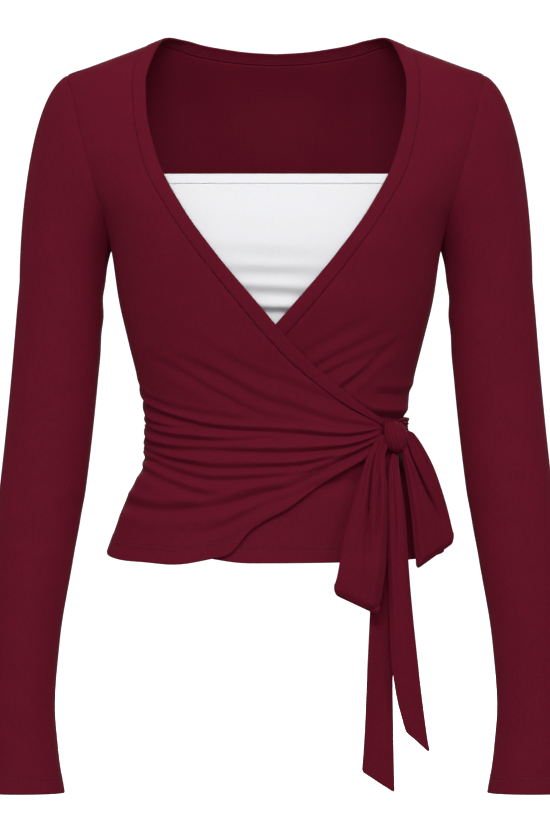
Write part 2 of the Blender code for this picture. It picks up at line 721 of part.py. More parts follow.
def knot(material):
    """The knot: a short roll of the tie, wrapped round itself with a dimple at each end."""
    centre = Vector(KNOT_CENTRE)
    half_across, half_deep, half_up = KNOT_HALF
    points, faces = [], []
    sides, rings = 14, 9
    for i in range(1, rings):
        lift = pi * i / rings
        for k in range(sides):
            angle = 2 * pi * k / sides
            ridge = 1 + 0.06 * cos(3 * (angle + 1.6 * lift))
            points.append(centre + Vector((half_across * sin(lift) * cos(angle) * ridge - 0.0025 * cos(lift),
                                           half_deep * sin(lift) * sin(angle) * ridge,
                                           half_up * cos(lift))))
    for i in range(rings - 2):
        for k in range(sides):
            after = (k + 1) % sides
            faces.append([i * sides + k, i * sides + after, (i + 1) * sides + after, (i + 1) * sides + k])
    faces.append(list(range(sides)))
    faces.append(list(range(sides * (rings - 2), sides * (rings - 1))))
    return add_object("tie_knot", points, faces, material)


def tie_back(material):
    """The tie from the slit in the right side seam, round the back, to the knot."""
    drop_at, half_at, out_at = columns(TIE_BACK)
    turns = [row[0] for row in TIE_BACK[:4]] + spread(8.0, TIE_BACK[-1][0], 17)[1:]
    grid = []
    for across in (-1, -0.5, 0, 0.5, 1):
        grid.append([skin(radians(-turn), drop_at(turn) + half_at(turn) * across, out_at(turn))
                     for turn in turns])
    return skin_wall("tie_back", grid, TIE_WALL, material, 0)


def cloth(name, colour):
    """A matt cloth material."""
    material = bpy.data.materials.new(name)
    material.use_nodes = True
    shader = material.node_tree.nodes["Principled BSDF"]
    shader.inputs["Base Color"].default_value = (*colour, 1)
    shader.inputs["Roughness"].default_value = 0.85
    shader.inputs["Metallic"].default_value = 0.0
    return material


def build():
    """Remove the scene's objects and make every piece of the garment."""
    for item in list(bpy.data.objects):
        bpy.data.objects.remove(item, do_unlink=True)
    names = ("front_right", "front_left", "back", "sleeve_right", "sleeve_left", "neckband_right",
             "neckband_left", "neckband_back", "tie_knot", "tie_loop_inner", "tie_loop_outer",
             "tie_tail_long", "tie_tail_short", "tie_back")
    jersey = {name: cloth(f"jersey_{name}", WINE) for name in names}
    front_right(jersey["front_right"])
    front_left(jersey["front_left"])
    back(jersey["back"])
    sleeve("sleeve_right", False, jersey["sleeve_right"])
    sleeve("sleeve_left", True, jersey["sleeve_left"])
    stations = neck_stations()
    neckband("neckband_right", False, outer_layer, stations, jersey["neckband_right"])
    neckband("neckband_left", True, lambda turn, drop: UNDER_LAYER, stations, jersey["neckband_left"])
    neckband_back(jersey["neckband_back"])
    insert_panel(cloth("insert_panel_white", WHITE))
    insert_band(cloth("insert_band_white", WHITE))
    knot(jersey["tie_knot"])
    loop("tie_loop_inner", LOOP_INNER, 0.011, 0.018, 0.0105, jersey["tie_loop_inner"])
    loop("tie_loop_outer", LOOP_OUTER, 0.010, -0.022, 0.0070, jersey["tie_loop_outer"])
    tail("tie_tail_long", TAIL_LONG, 0.018, 0.0060, jersey["tie_tail_long"])
    tail("tie_tail_short", TAIL_SHORT, 0.018, 0.0090, jersey["tie_tail_short"])
    tie_back(jersey["tie_back"])


build()
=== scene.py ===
"""The looks of the wrap top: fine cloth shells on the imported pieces, their finish, light and camera.

Metres, +Z up, the front towards -Y and the wearer's left towards +X. Heights are drops below
the high neck points. A place on the body form is a turn, 0 at the wearer's right side and 90
degrees at the centre front, and a drop. Lengths of arrays follow a grid of rows and columns.
"""
from math import pi, radians

import bpy
import numpy as np
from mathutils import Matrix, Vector


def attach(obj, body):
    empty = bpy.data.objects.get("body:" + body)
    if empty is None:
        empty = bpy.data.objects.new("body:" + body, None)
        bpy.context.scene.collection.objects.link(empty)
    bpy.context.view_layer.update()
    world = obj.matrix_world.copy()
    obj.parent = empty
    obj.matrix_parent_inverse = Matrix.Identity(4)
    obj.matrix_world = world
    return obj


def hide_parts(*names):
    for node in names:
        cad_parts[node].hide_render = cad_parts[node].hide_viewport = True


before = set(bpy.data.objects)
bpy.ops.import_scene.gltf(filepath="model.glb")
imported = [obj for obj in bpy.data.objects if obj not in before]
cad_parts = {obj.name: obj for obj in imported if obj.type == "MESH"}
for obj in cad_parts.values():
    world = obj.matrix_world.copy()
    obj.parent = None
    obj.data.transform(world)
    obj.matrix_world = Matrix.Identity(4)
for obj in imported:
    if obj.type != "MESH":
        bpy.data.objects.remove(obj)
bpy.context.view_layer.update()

JERSEY_WALL = 0.0012
INSERT_WALL = 0.0010
BAND_WALL = 0.0018
TIE_WALL = 0.0016
SEAM_GAP = 0.00035
CLOSE_GAP = 0.00001
SEAM_TUCK = 0.0010
FULLNESS = 2.4
UNDER_LAYER = 0.0008
OUTER_LAYER = 0.0054
INSERT_LAYER = -0.0027
WRAP_DROPS = (0.220, 0.280)
HEM_DROP = 0.452
HEM_TURNED = 0.017
HEM_ROWS = (0.0118, 0.0150)
SHOULDER_END_DROP = 0.0346
UNDERARM_DROP = 0.186
KNOT_TURN = 139.5
SLIT_TURN = 174.0
SLIT_DROP = 0.352
BACK_NECK_DROP = 0.0132
BACK_BAND_WIDTH = 0.0092
INSERT_TOP_DROP = 0.1232
INSERT_BAND = 0.0085
INSERT_HEM_DROP = 0.292
INSERT_RECESS = 0.008
INSERT_RECESS_DROPS = (0.19, 0.27)
# Gaussian bumps and hollows: place, spread and size.
RIGHT_HEM_SAG = (0.44, 0.09, 0.0042)
RIGHT_HEM_NIP = (0.595, 0.026, 0.0055)
BACK_CINCH = (0.350, 0.012, 0.0016)
# Radii of the corners of the free ends and the loops, and how thick a loop starts at the knot.
TAIL_CORNER = 0.0022
LOOP_CORNER = 0.0040
LOOP_THROAT = 0.0042
# How far a binding swells in the middle, and how far it is set in.
BAND_PLUMP = 0.0005
BAND_SINK = 0.0002

WINE = (0.120, 0.0057, 0.0178)
BINDING_WINE = (0.118, 0.0055, 0.0175)
TIE_WINE = (0.112, 0.0050, 0.0162)
WHITE = (0.745, 0.745, 0.765)
# The wine thread's own colour, darkened further as painted shade of the grooves the stitches sit in.
WINE_THREAD_AND_SHADE = (0.055, 0.0028, 0.0080)
WHITE_THREAD = (0.78, 0.78, 0.80)

FRAME_HEIGHT = 0.726
CAMERA_DISTANCE = 6.0
CAMERA_CENTRE = (-0.0009, -0.3304)
FLOOR_HEIGHT = -0.72
FLOOR_RADIUS = 9.0
BEND_START = 12.0
BEND_RADIUS = 1.5
WALL_HEIGHT = 9.0
PAPER_GLOW = 0.95
WORLD_LIGHT = 0.27
LIGHTS = (
    # name, position, target, size, watts
    ("left_key", (-2.0, -2.9, 1.2), (0.0, 0.0, -0.20), (1.0, 1.0), 21),
    ("right_key", (2.0, -2.9, 1.2), (0.0, 0.0, -0.20), (1.0, 1.0), 22),
    ("front_fill", (0.0, -4.2, -0.5), (0.0, 0.0, -0.25), (2.0, 1.4), 33),
    ("front_key", (0.0, -3.3, 1.5), (0.0, 0.0, -0.25), (1.6, 0.8), 72),
    ("back_fill", (0.3, 4.0, 0.7), (0.0, 0.0, -0.30), (2.4, 1.6), 95),
)

# Rings of the body form.
BODY = (
    # drop, half width, front depth, back depth
    (0.0000, 0.0890, 0.012, 0.030),
    (0.0100, 0.1162, 0.032, 0.046),
    (0.0280, 0.1647, 0.055, 0.059),
    (0.0346, 0.1825, 0.062, 0.064),
    (0.0450, 0.1905, 0.070, 0.071),
    (0.0610, 0.1960, 0.080, 0.079),
    (0.0950, 0.1910, 0.097, 0.089),
    (0.1160, 0.1820, 0.107, 0.093),
    (0.1430, 0.1660, 0.118, 0.096),
    (0.1630, 0.1520, 0.125, 0.096),
    (0.1860, 0.1440, 0.129, 0.094),
    (0.2310, 0.1370, 0.123, 0.088),
    (0.2670, 0.1283, 0.110, 0.082),
    (0.3020, 0.1196, 0.097, 0.077),
    (0.3450, 0.1118, 0.088, 0.075),
    (0.3720, 0.1138, 0.089, 0.079),
    (0.4070, 0.1300, 0.094, 0.089),
    (0.4520, 0.1465, 0.098, 0.099),
)
# The nape stands up between the shoulder seams and the centre back.
NAPE_RISE = (
    # turn round the back in degrees, rise
    (0.0, 0.0),
    (12.0, 0.0016),
    (25.0, 0.0046),
    (38.0, 0.0062),
    (50.0, 0.0064),
    (62.0, 0.0045),
    (72.0, 0.0030),
    (81.0, 0.0012),
    (90.0, 0.0),
)
NAPE_FADE = (0.004, 0.034)

ARMHOLE = (
    # drop, turn in degrees
    (0.0346, 0.0),
    (0.0380, 12.0),
    (0.0450, 21.0),
    (0.0610, 29.0),
    (0.0950, 31.0),
    (0.1160, 29.5),
    (0.1430, 23.2),
    (0.1630, 14.0),
    (0.1760, 7.0),
    (0.1860, 0.0),
)
NECKLINE = (
    # edge x, edge drop, seam x, seam drop
    (-0.1010, 0.0044, -0.1129, 0.0088),
    (-0.1080, 0.0200, -0.1215, 0.0215),
    (-0.1135, 0.0430, -0.1253, 0.0440),
    (-0.1125, 0.0680, -0.1240, 0.0700),
    (-0.1027, 0.1098, -0.1150, 0.1130),
    (-0.0819, 0.1511, -0.0915, 0.1580),
    (-0.0518, 0.1933, -0.0612, 0.2005),
    (-0.0162, 0.2354, -0.0255, 0.2440),
    (0.0239, 0.2795, 0.0160, 0.2885),
    (0.0590, 0.3115, 0.0525, 0.3187),
    (0.0905, 0.3370, 0.0880, 0.3412),
)
NECK_STATIONS = len(NECKLINE) - 1

# Lines across a front, from its side to its neckline, and below it to the knot or the slit.
FRONT_FRACTIONS = (0.0, 0.28, 0.55, 0.64, 0.74, 1.0)
RIGHT_FRONT = (
    # neck station, side drop, then drops at the fractions after 0 of the way
    (0.0, 0.0346, 0.0274, 0.0204, 0.0181, 0.0155, 0.0088),
    (2.0, 0.0610, 0.0560, 0.0509, 0.0490, 0.0475, 0.0440),
    (3.1, 0.0950, 0.0880, 0.0818, 0.0798, 0.0780, 0.0740),
    (4.3, 0.1430, 0.1370, 0.1308, 0.1290, 0.1275, 0.1260),
    (5.3, 0.1860, 0.1830, 0.1778, 0.1758, 0.1740, 0.1700),
    (6.3, 0.2310, 0.2300, 0.2248, 0.2224, 0.2200, 0.2130),
    (7.4, 0.2720, 0.2740, 0.2718, 0.2700, 0.2680, 0.2620),
    (8.4, 0.2960, 0.3050, 0.3080, 0.3065, 0.3040, 0.3010),
    (9.2, 0.3080, 0.3220, 0.3320, 0.3318, 0.3300, 0.3240),
    (10.0, 0.3160, 0.3330, 0.3455, 0.3470, 0.3475, 0.3412),
    (11.0, 0.3380, 0.3490, 0.3532, 0.3548, 0.3560, 0.3455),
    (12.0, 0.3605, 0.3700, 0.3786, 0.3750, 0.3690, 0.3500),
    (13.0, 0.3840, 0.3930, 0.4010, 0.3930, 0.3810, 0.3540),
    (14.0, 0.4230, 0.4330, 0.4310, 0.4090, 0.3890, 0.3575),
    (15.0, 0.4520, 0.4610, 0.4545, 0.4215, 0.3950, 0.3605),
)
LEFT_FRONT = RIGHT_FRONT[:7] + (
    (8.4, 0.2960, 0.3000, 0.3020, 0.3015, 0.3010, 0.3010),
    (9.2, 0.3120, 0.3170, 0.3212, 0.3222, 0.3230, 0.3240),
    (10.0, 0.3240, 0.3310, 0.3372, 0.3388, 0.3400, 0.3412),
    (11.0, 0.3450, 0.3520, 0.3578, 0.3576, 0.3570, 0.3480),
    (12.0, 0.3700, 0.3780, 0.3830, 0.3812, 0.3780, 0.3520),
    (13.0, 0.3980, 0.4060, 0.4118, 0.4090, 0.4040, 0.3560),
    (14.0, 0.4270, 0.4350, 0.4395, 0.4350, 0.4280, 0.3600),
    (15.0, 0.4520, 0.4590, 0.4612, 0.4560, 0.4500, 0.3640),
)

# Folds: troughs with soft shoulders. Each follows its drops at a row of turns between a first and
# a last turn, in degrees, where it fades out. Turns below 0 are round the side, on the back.
RIGHT_FOLD_TURNS = (0.0, 24.0, 48.0, 69.0, 91.0, 114.5, KNOT_TURN)
RIGHT_FOLDS = (
    # seven drops, depth, half width, first turn, last turn
    (0.3150, 0.3257, 0.3370, 0.3448, 0.3482, 0.3517, 0.3455, 0.0038, 0.0034, -24, 139),
    (0.3300, 0.3387, 0.3439, 0.3452, 0.3460, 0.3460, 0.3460, 0.0016, 0.0024, -26, 66),
    (0.3390, 0.3470, 0.3535, 0.3552, 0.3535, 0.3530, 0.3530, 0.0028, 0.0030, -18, 96),
    (0.3500, 0.3586, 0.3630, 0.3639, 0.3656, 0.3621, 0.3495, 0.0034, 0.0030, -24, 138),
    (0.3600, 0.3665, 0.3743, 0.3795, 0.3786, 0.3690, 0.3540, 0.0034, 0.0030, -16, 118),
    (0.3690, 0.3734, 0.3830, 0.3899, 0.3870, 0.3740, 0.3560, 0.0036, 0.0032, -26, 112),
    (0.3790, 0.3838, 0.3942, 0.4038, 0.4060, 0.4060, 0.4060, 0.0028, 0.0034, -12, 76),
    (0.4080, 0.4120, 0.4159, 0.4124, 0.3977, 0.3734, 0.3535, 0.0046, 0.0046, 0, 138),
    (0.4400, 0.4400, 0.4400, 0.4340, 0.4073, 0.3850, 0.3700, 0.0028, 0.0036, 60, 116),
    (0.2200, 0.2300, 0.2500, 0.2740, 0.3023, 0.3223, 0.3390, 0.0013, 0.0052, 58, 138),
    (0.2500, 0.2600, 0.2780, 0.2954, 0.3223, 0.3387, 0.3430, 0.0016, 0.0050, 44, 139),
    (0.2600, 0.2750, 0.2890, 0.3120, 0.3350, 0.3440, 0.3450, 0.0013, 0.0044, 24, 104),
    (0.3020, 0.3153, 0.3266, 0.3330, 0.3380, 0.3400, 0.3400, 0.0011, 0.0038, -10, 86),
)
LEFT_FOLD_TURNS = (0.0, 25.0, 45.0, 65.0, 85.0)
LEFT_FOLDS = (
    (0.2050, 0.2220, 0.2400, 0.2580, 0.2830, 0.0014, 0.0050, 46, 92),
    (0.2250, 0.2400, 0.2590, 0.2770, 0.3000, 0.0019, 0.0048, 40, 90),
    (0.2400, 0.2530, 0.2730, 0.2890, 0.3120, 0.0022, 0.0044, 34, 88),
    (0.2470, 0.2580, 0.2780, 0.3095, 0.3350, 0.0022, 0.0046, 28, 86),
    (0.3350, 0.3355, 0.3340, 0.3180, 0.3000, 0.0036, 0.0050, -26, 66),
    (0.3120, 0.3150, 0.3140, 0.3080, 0.3000, 0.0022, 0.0050, -20, 50),
    (0.3640, 0.3600, 0.3560, 0.3540, 0.3540, 0.0026, 0.0060, -24, 80),
    (0.3780, 0.3860, 0.3890, 0.3890, 0.3850, 0.0022, 0.0065, 8, 80),
)
BACK_FOLD_TURNS = (0.0, 45.0, 90.0, 135.0, 180.0)
BACK_FOLDS = (
    (0.3040, 0.3060, 0.3180, 0.3240, 0.3180, 0.0014, 0.0080, 12, 150),
    (0.3180, 0.3240, 0.3220, 0.3200, 0.3130, 0.0013, 0.0060, 40, 182),
    (0.2840, 0.2920, 0.2960, 0.2880, 0.2780, 0.0009, 0.0100, 20, 165),
    (0.3800, 0.3860, 0.3810, 0.3850, 0.3790, 0.0014, 0.0080, 8, 120),
    (0.3930, 0.3960, 0.4010, 0.3960, 0.3860, 0.0012, 0.0100, 60, 176),
)

SLEEVE = (
    # drop, centre x, half width, half depth, centre y
    (0.2150, 0.1880, 0.0372, 0.0440, 0.001),
    (0.2500, 0.1905, 0.0378, 0.0425, 0.000),
    (0.3200, 0.1965, 0.0378, 0.0405, -0.004),
    (0.3900, 0.2040, 0.0375, 0.0395, -0.011),
    (0.4600, 0.2135, 0.0350, 0.0375, -0.020),
    (0.5300, 0.2210, 0.0312, 0.0340, -0.028),
    (0.5850, 0.2235, 0.0298, 0.0315, -0.033),
    (0.6250, 0.2235, 0.0325, 0.0320, -0.036),
    (0.6630, 0.2226, 0.0372, 0.0345, -0.038),
)
# Soft creases of a sleeve: drop, angle round it, reach down and round it, and depth.
SLEEVE_CREASES = (
    # drop, angle in degrees, half height, half spread in degrees, depth, slope
    (0.232, 200, 0.010, 55, 0.0016, 0.10),
    (0.262, 215, 0.012, 50, 0.0010, 0.14),
    (0.395, 95, 0.012, 45, 0.0009, -0.05),
    (0.415, 120, 0.009, 50, 0.0010, 0.06),
    (0.436, 80, 0.011, 45, 0.0008, -0.08),
    (0.505, 60, 0.014, 60, 0.0007, 0.06),
    (0.590, 250, 0.014, 60, 0.0008, -0.06),
    (0.612, 100, 0.012, 55, 0.0008, 0.05),
)

# Pleats of the ribbons: place across at the top and the end, depth, spread and reach down.
# A pleat is deepest half its reach below the knot.
LOOP_INNER_PLEATS = (
    (0.34, 0.62, 0.0085, 0.075, 0.060),
    (0.98, 1.00, 0.0070, 0.070, 0.150),
    (0.68, 0.86, 0.0026, 0.060, 0.050),
    (0.00, 0.00, 0.0030, 0.060, 0.080),
)
LOOP_OUTER_PLEATS = (
    (0.29, 0.76, 0.0095, 0.075, 0.055),
    (0.02, 0.02, 0.0050, 0.080, 0.120),
    (0.80, 0.96, 0.0024, 0.070, 0.050),
)
TAIL_LONG_PLEATS = (
    (0.45, 0.38, 0.0018, 0.160, 0.300),
)
TAIL_SHORT_PLEATS = (
    (0.00, 0.02, 0.0040, 0.120, 0.120),
    (1.00, 1.00, 0.0030, 0.120, 0.100),
    (0.50, 0.40, 0.0022, 0.100, 0.060),
)

# Ribbons of the tie: rows from the knot downwards.
LOOP_INNER = (
    # drop, left x, right x, left y, right y
    (0.3500, 0.0915, 0.0975, -0.0650, -0.0640),
    (0.3570, 0.0858, 0.0980, -0.0690, -0.0670),
    (0.3690, 0.0798, 0.0950, -0.0770, -0.0735),
    (0.3810, 0.0754, 0.0953, -0.0860, -0.0820),
    (0.3930, 0.0715, 0.0966, -0.0930, -0.0890),
    (0.4180, 0.0647, 0.0962, -0.1040, -0.1000),
    (0.4500, 0.0576, 0.0949, -0.1115, -0.1085),
    (0.4750, 0.0537, 0.0916, -0.1150, -0.1130),
    (0.4905, 0.0507, 0.0890, -0.1160, -0.1150),
)
LOOP_OUTER = (
    (0.3460, 0.1060, 0.1120, -0.0640, -0.0590),
    (0.3480, 0.1070, 0.1185, -0.0645, -0.0550),
    (0.3520, 0.1080, 0.1222, -0.0655, -0.0520),
    (0.3630, 0.1095, 0.1290, -0.0690, -0.0485),
    (0.3800, 0.1128, 0.1366, -0.0755, -0.0470),
    (0.4000, 0.1160, 0.1430, -0.0815, -0.0470),
    (0.4200, 0.1185, 0.1481, -0.0850, -0.0480),
    (0.4400, 0.1202, 0.1524, -0.0860, -0.0490),
    (0.4497, 0.1218, 0.1543, -0.0865, -0.0500),
)
TAIL_LONG = (
    (0.3648, 0.0945, 0.1005, -0.0655, -0.0635),
    (0.3930, 0.0860, 0.0990, -0.0830, -0.0770),
    (0.4450, 0.0838, 0.0990, -0.0975, -0.0925),
    (0.5055, 0.0813, 0.1005, -0.1015, -0.0985),
    (0.5315, 0.0800, 0.1008, -0.1020, -0.1000),
    (0.5660, 0.0783, 0.1008, -0.1020, -0.1005),
    (0.6005, 0.0769, 0.1013, -0.1020, -0.1010),
    (0.6413, 0.0745, 0.1024, -0.1010, -0.1020),
)
TAIL_SHORT = (
    (0.3665, 0.1008, 0.1060, -0.0710, -0.0670),
    (0.3760, 0.0985, 0.1062, -0.0810, -0.0760),
    (0.3880, 0.0969, 0.1076, -0.0920, -0.0860),
    (0.4190, 0.0961, 0.1113, -0.1050, -0.1010),
    (0.4450, 0.0964, 0.1130, -0.1100, -0.1060),
    (0.4790, 0.0974, 0.1155, -0.1135, -0.1095),
    (0.5070, 0.0981, 0.1181, -0.1145, -0.1110),
    (0.5400, 0.0993, 0.1218, -0.1150, -0.1120),
    (0.5740, 0.1036, 0.1270, -0.1150, -0.1120),
    (0.6060, 0.1121, 0.1324, -0.1140, -0.1120),
)
# Creases along the tie round the back: place across it, depth, spread and swing.
TIE_BACK_CREASES = (
    (-0.62, 0.0008, 0.13, 0.10),
    (-0.15, 0.0010, 0.11, -0.14),
    (0.30, 0.0009, 0.12, 0.12),
    (0.72, 0.0007, 0.10, -0.08),
)
TIE_BACK = (
    # turn round the back in degrees, drop, half width, out
    (-5.2, 0.3520, 0.0095, -0.0008),
    (-2.4, 0.3520, 0.0100, 0.0003),
    (0.0, 0.3520, 0.0105, 0.0026),
    (8.0, 0.3520, 0.0115, 0.0033),
    (45.0, 0.3510, 0.0170, 0.0032),
    (90.0, 0.3500, 0.0190, 0.0030),
    (135.0, 0.3480, 0.0160, 0.0030),
    (180.0, 0.3425, 0.0080, 0.0036),
    (202.0, 0.3405, 0.0055, 0.0050),
    (213.0, 0.3430, 0.0050, 0.0060),
)
KNOT_CENTRE = (0.1041, -0.0690, -0.3523)
KNOT_HALF = (0.0100, 0.0150, 0.0142)
# Creases of the knot: place across it in radians, depth as a share of its half height, spread.
KNOT_CREASES = (
    (0.62, 0.050, 0.085),
    (0.95, 0.070, 0.075),
    (1.28, 0.045, 0.070),
    (1.62, 0.075, 0.085),
    (2.20, 0.040, 0.120),
)
# Soft creases of the insert: drop, depth, half height, middle turn, reach in turn, slope.
INSERT_CREASES = (
    (0.1950, 0.0007, 0.0055, 1.52, 0.22, 0.004),
    (0.2120, 0.0014, 0.0050, 1.56, 0.26, -0.006),
    (0.2310, 0.0022, 0.0050, 1.60, 0.30, 0.004),
    (0.2490, 0.0030, 0.0048, 1.62, 0.34, -0.004),
    (0.2700, 0.0024, 0.0060, 1.62, 0.50, 0.006),
)


# Smooth functions and the body form.

def smooth_way(part, start, leave, end, arrive):
    """A way from start to end over a part from 0 to 1, with its slopes at both."""
    rest = 1 - part
    return (start * (1 + 2 * part) * rest ** 2 + leave * part * rest ** 2
            + end * (3 - 2 * part) * part ** 2 - arrive * part ** 2 * rest)


def curve(keys, values):
    """A smooth function of arrays through the points that never overshoots between two."""
    keys, values = np.asarray(keys, float), np.asarray(values, float)
    gaps = np.diff(keys)
    rises = np.diff(values) / gaps
    product = rises[:-1] * rises[1:]
    bends = np.where(product > 0, 2 * product / np.where(product > 0, rises[:-1] + rises[1:], 1), 0)
    slopes = np.concatenate(([rises[0]], bends, [rises[-1]]))

    def at(key):
        key = np.asarray(key, float)
        place = np.clip(np.searchsorted(keys, key) - 1, 0, len(gaps) - 1)
        gap = gaps[place]
        part = (key - keys[place]) / gap
        value = smooth_way(np.clip(part, 0, 1), values[place], gap * slopes[place],
                           values[place + 1], gap * slopes[place + 1])
        return value + gap * (slopes[0] * np.minimum(part, 0) + slopes[-1] * np.maximum(part - 1, 0))

    return at


def columns(table):
    """One smooth function for each column of a table, over its first column."""
    keys, *rest = zip(*table)
    return [curve(keys, values) for values in rest]


half_width, front_depth, back_depth = columns(BODY)
(armhole_turn,) = columns(ARMHOLE)
neck_tracks = [curve(range(len(NECKLINE)), values) for values in zip(*NECKLINE)]
(nape_height,) = columns(NAPE_RISE)


def ramp(value, low, high):
    """Rise smoothly from 0 at low to 1 at high."""
    part = np.clip((value - low) / (high - low), 0, 1)
    return part * part * (3 - 2 * part)


def bell(value, place, spread, size=1.0):
    """A bump of a size round a place."""
    return size * np.exp(-((value - place) / spread) ** 2)


def trough(away, shoulder, at, spread):
    """A trough of depth 1 with a raised shoulder on each side."""
    return bell(away, 0, 1) - bell(np.abs(away), at, spread, shoulder)


def unit(vectors):
    """Vectors scaled to a length of 1."""
    return vectors / np.linalg.norm(vectors, axis=-1, keepdims=True)


def nape_edge(turn):
    """The drops of the rings on which the neck's free edge lies, round the back."""
    edge_drop = NECKLINE[0][1]
    return edge_drop + (BACK_NECK_DROP - edge_drop) * np.abs(np.sin(turn)) ** 2.5


def nape_seam(turn):
    """The drops of the rings on which the seam of the back's neckband lies."""
    at_side = NECKLINE[0][3] - NECKLINE[0][1]
    return nape_edge(turn) + at_side + (BACK_BAND_WIDTH - at_side) * np.sin(turn) ** 4


def nape_rise(turn, drop):
    """How far the back stands above its rings, next to the neck."""
    height = nape_height(np.degrees(np.arccos(np.abs(np.cos(turn)).clip(0, 1))))
    return height * (1 - ramp(drop - nape_edge(turn), *NAPE_FADE))


def form(turn, drop):
    """Points of the body form."""
    across, along = np.cos(turn), np.sin(turn)
    depth = np.where(along >= 0, front_depth(drop), back_depth(drop))
    power = 2 / FULLNESS
    x = -half_width(drop) * np.sign(across) * np.abs(across) ** power
    y = -depth * np.sign(along) * np.abs(along) ** power
    rise = np.where(along < 0, nape_rise(turn, drop), 0.0)
    return np.stack(np.broadcast_arrays(x, y, rise - drop), axis=-1)


def outward(turn, drop):
    """Unit normals of the body form."""
    turn_step, drop_step = 0.024, 0.003
    around = form(turn + turn_step, drop) - form(turn - turn_step, drop)
    down = form(turn, drop + drop_step) - form(turn, drop - drop_step)
    return unit(np.cross(down, around))


def layer_at(turn, drop, out):
    """Points that far out from the body form, and their normals."""
    normals = outward(turn, drop)
    return form(turn, drop) + out[..., None] * normals, normals


def turn_at(x, drop):
    """The turn, over the front, at which the form's ring has this x."""
    across = np.clip(-x / half_width(drop), -1, 1)
    return np.arccos(np.sign(across) * np.abs(across) ** (FULLNESS / 2))


def mirrored(vectors):
    """Vectors reflected from the wearer's right side to the left one."""
    return vectors * np.array((-1.0, 1.0, 1.0))


def folds(table, fold_turns, degrees, drop):
    """How far a table of folds moves the cloth out. A fold is steeper above its middle."""
    out = np.zeros(np.broadcast(degrees, drop).shape)
    for *drops, depth, spread, first, last in table:
        middle = curve(fold_turns, drops)(degrees)
        gather = 1 - 0.55 * ramp(degrees, 92, KNOT_TURN) * (last > 120)
        fade = ramp(degrees, first, first + 20) * (1 - ramp(degrees, last - 10, last))
        away = (drop - middle) / (spread * gather)
        away = away * np.where(away < 0, 1.35, 0.85)
        valley = bell(away, 0, 1, 0.45) + 0.62 * np.exp(0.24 - np.sqrt(away ** 2 + 0.06) * 1.25)
        shape = valley - bell(np.abs(away), 2.1, 0.9, 0.42)
        at_side = 1 - bell(degrees, 0, 16, 0.5)
        out -= depth * gather ** 0.4 * fade * at_side * shape
    return out


# Meshes.

def add_object(name, data):
    """A new object in the scene."""
    thing = bpy.data.objects.new(name, data)
    bpy.context.collection.objects.link(thing)
    return thing


def smooth_mesh(name, points, faces, material):
    """A smooth mesh object of one material."""
    mesh = bpy.data.meshes.new(name)
    mesh.from_pydata(np.asarray(points).reshape(-1, 3).tolist(), [], faces)
    mesh.update()
    mesh.shade_smooth()
    mesh.materials.append(material)
    return add_object(name, mesh)


def add_mesh(name, points, faces, material, node=None):
    """A smooth piece that rides on the garment and, with a node, replaces that solid."""
    piece = smooth_mesh(name, points, faces, material)
    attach(piece, "root")
    if node:
        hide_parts(node)
    return piece


def ring_faces(rings, sides):
    """Quads between rings of points."""
    pairs = [(i * sides, k, (k + 1) % sides) for i in range(rings - 1) for k in range(sides)]
    return [(low + k, low + after, low + sides + after, low + sides + k) for low, k, after in pairs]


def shell_faces(rows, count, ring):
    """Quads of a closed wall whose outer grid comes first, then its inner one."""
    spans = np.arange(count if ring else count - 1)
    i, j = np.meshgrid(np.arange(rows - 1), spans, indexing="ij")
    after = (j + 1) % count
    a, b, c, d = i * count + j, i * count + after, (i + 1) * count + after, (i + 1) * count + j
    inner = rows * count
    faces = [np.stack((a, d, c, b), -1).reshape(-1, 4), np.stack((a, b, c, d), -1).reshape(-1, 4) + inner]
    for row, flip in ((0, 1), (rows - 1, 0)):
        near, far = row * count + spans, row * count + (spans + 1) % count
        edge = np.stack((near, far, far + inner, near + inner), -1)
        faces.append(edge[:, ::-1] if not flip else edge)
    if not ring:
        levels = np.arange(rows - 1)
        for column, flip in ((0, 0), (count - 1, 1)):
            near, far = levels * count + column, (levels + 1) * count + column
            edge = np.stack((near, far, far + inner, near + inner), -1)
            faces.append(edge[:, ::-1] if not flip else edge)
    return np.concatenate(faces)


def shell(node, grid, normals, thickness, material, ring=False, side=0):
    """A closed cloth wall on a grid of middle points, named after its node.

    side keeps it in front of the plane of the side seams, at -1, or behind it, at 1.
    """
    points = np.stack((grid + normals * thickness / 2, grid - normals * thickness / 2))
    if side:
        points[..., 1] = side * np.maximum(side * points[..., 1], CLOSE_GAP / 2)
    rows, count = grid.shape[:2]
    faces = shell_faces(rows, count, ring)
    flat = points.reshape(-1, 3)
    corners = flat[faces[: (rows - 1) * (count if ring else count - 1)]]
    facing = np.cross(corners[:, 1] - corners[:, 0], corners[:, 3] - corners[:, 0])
    outwards = flat[faces[: len(corners), 0]] - flat[faces[: len(corners), 0] + rows * count]
    if np.sum(facing * outwards) < 0:
        faces = faces[:, ::-1]
    return add_mesh(node + "_cloth", flat, faces.tolist(), material, node)


def grid_normals(grid, ring):
    """Unit normals of a grid, whose columns close up if ring is set."""
    down = np.gradient(grid, axis=0)
    if ring:
        across = np.roll(grid, -1, axis=1) - np.roll(grid, 1, axis=1)
    else:
        across = np.gradient(grid, axis=1)
    return unit(np.cross(down, across))


# The cloth pieces.

side_drop = curve(range(len(RIGHT_FRONT)), [row[1] for row in RIGHT_FRONT])


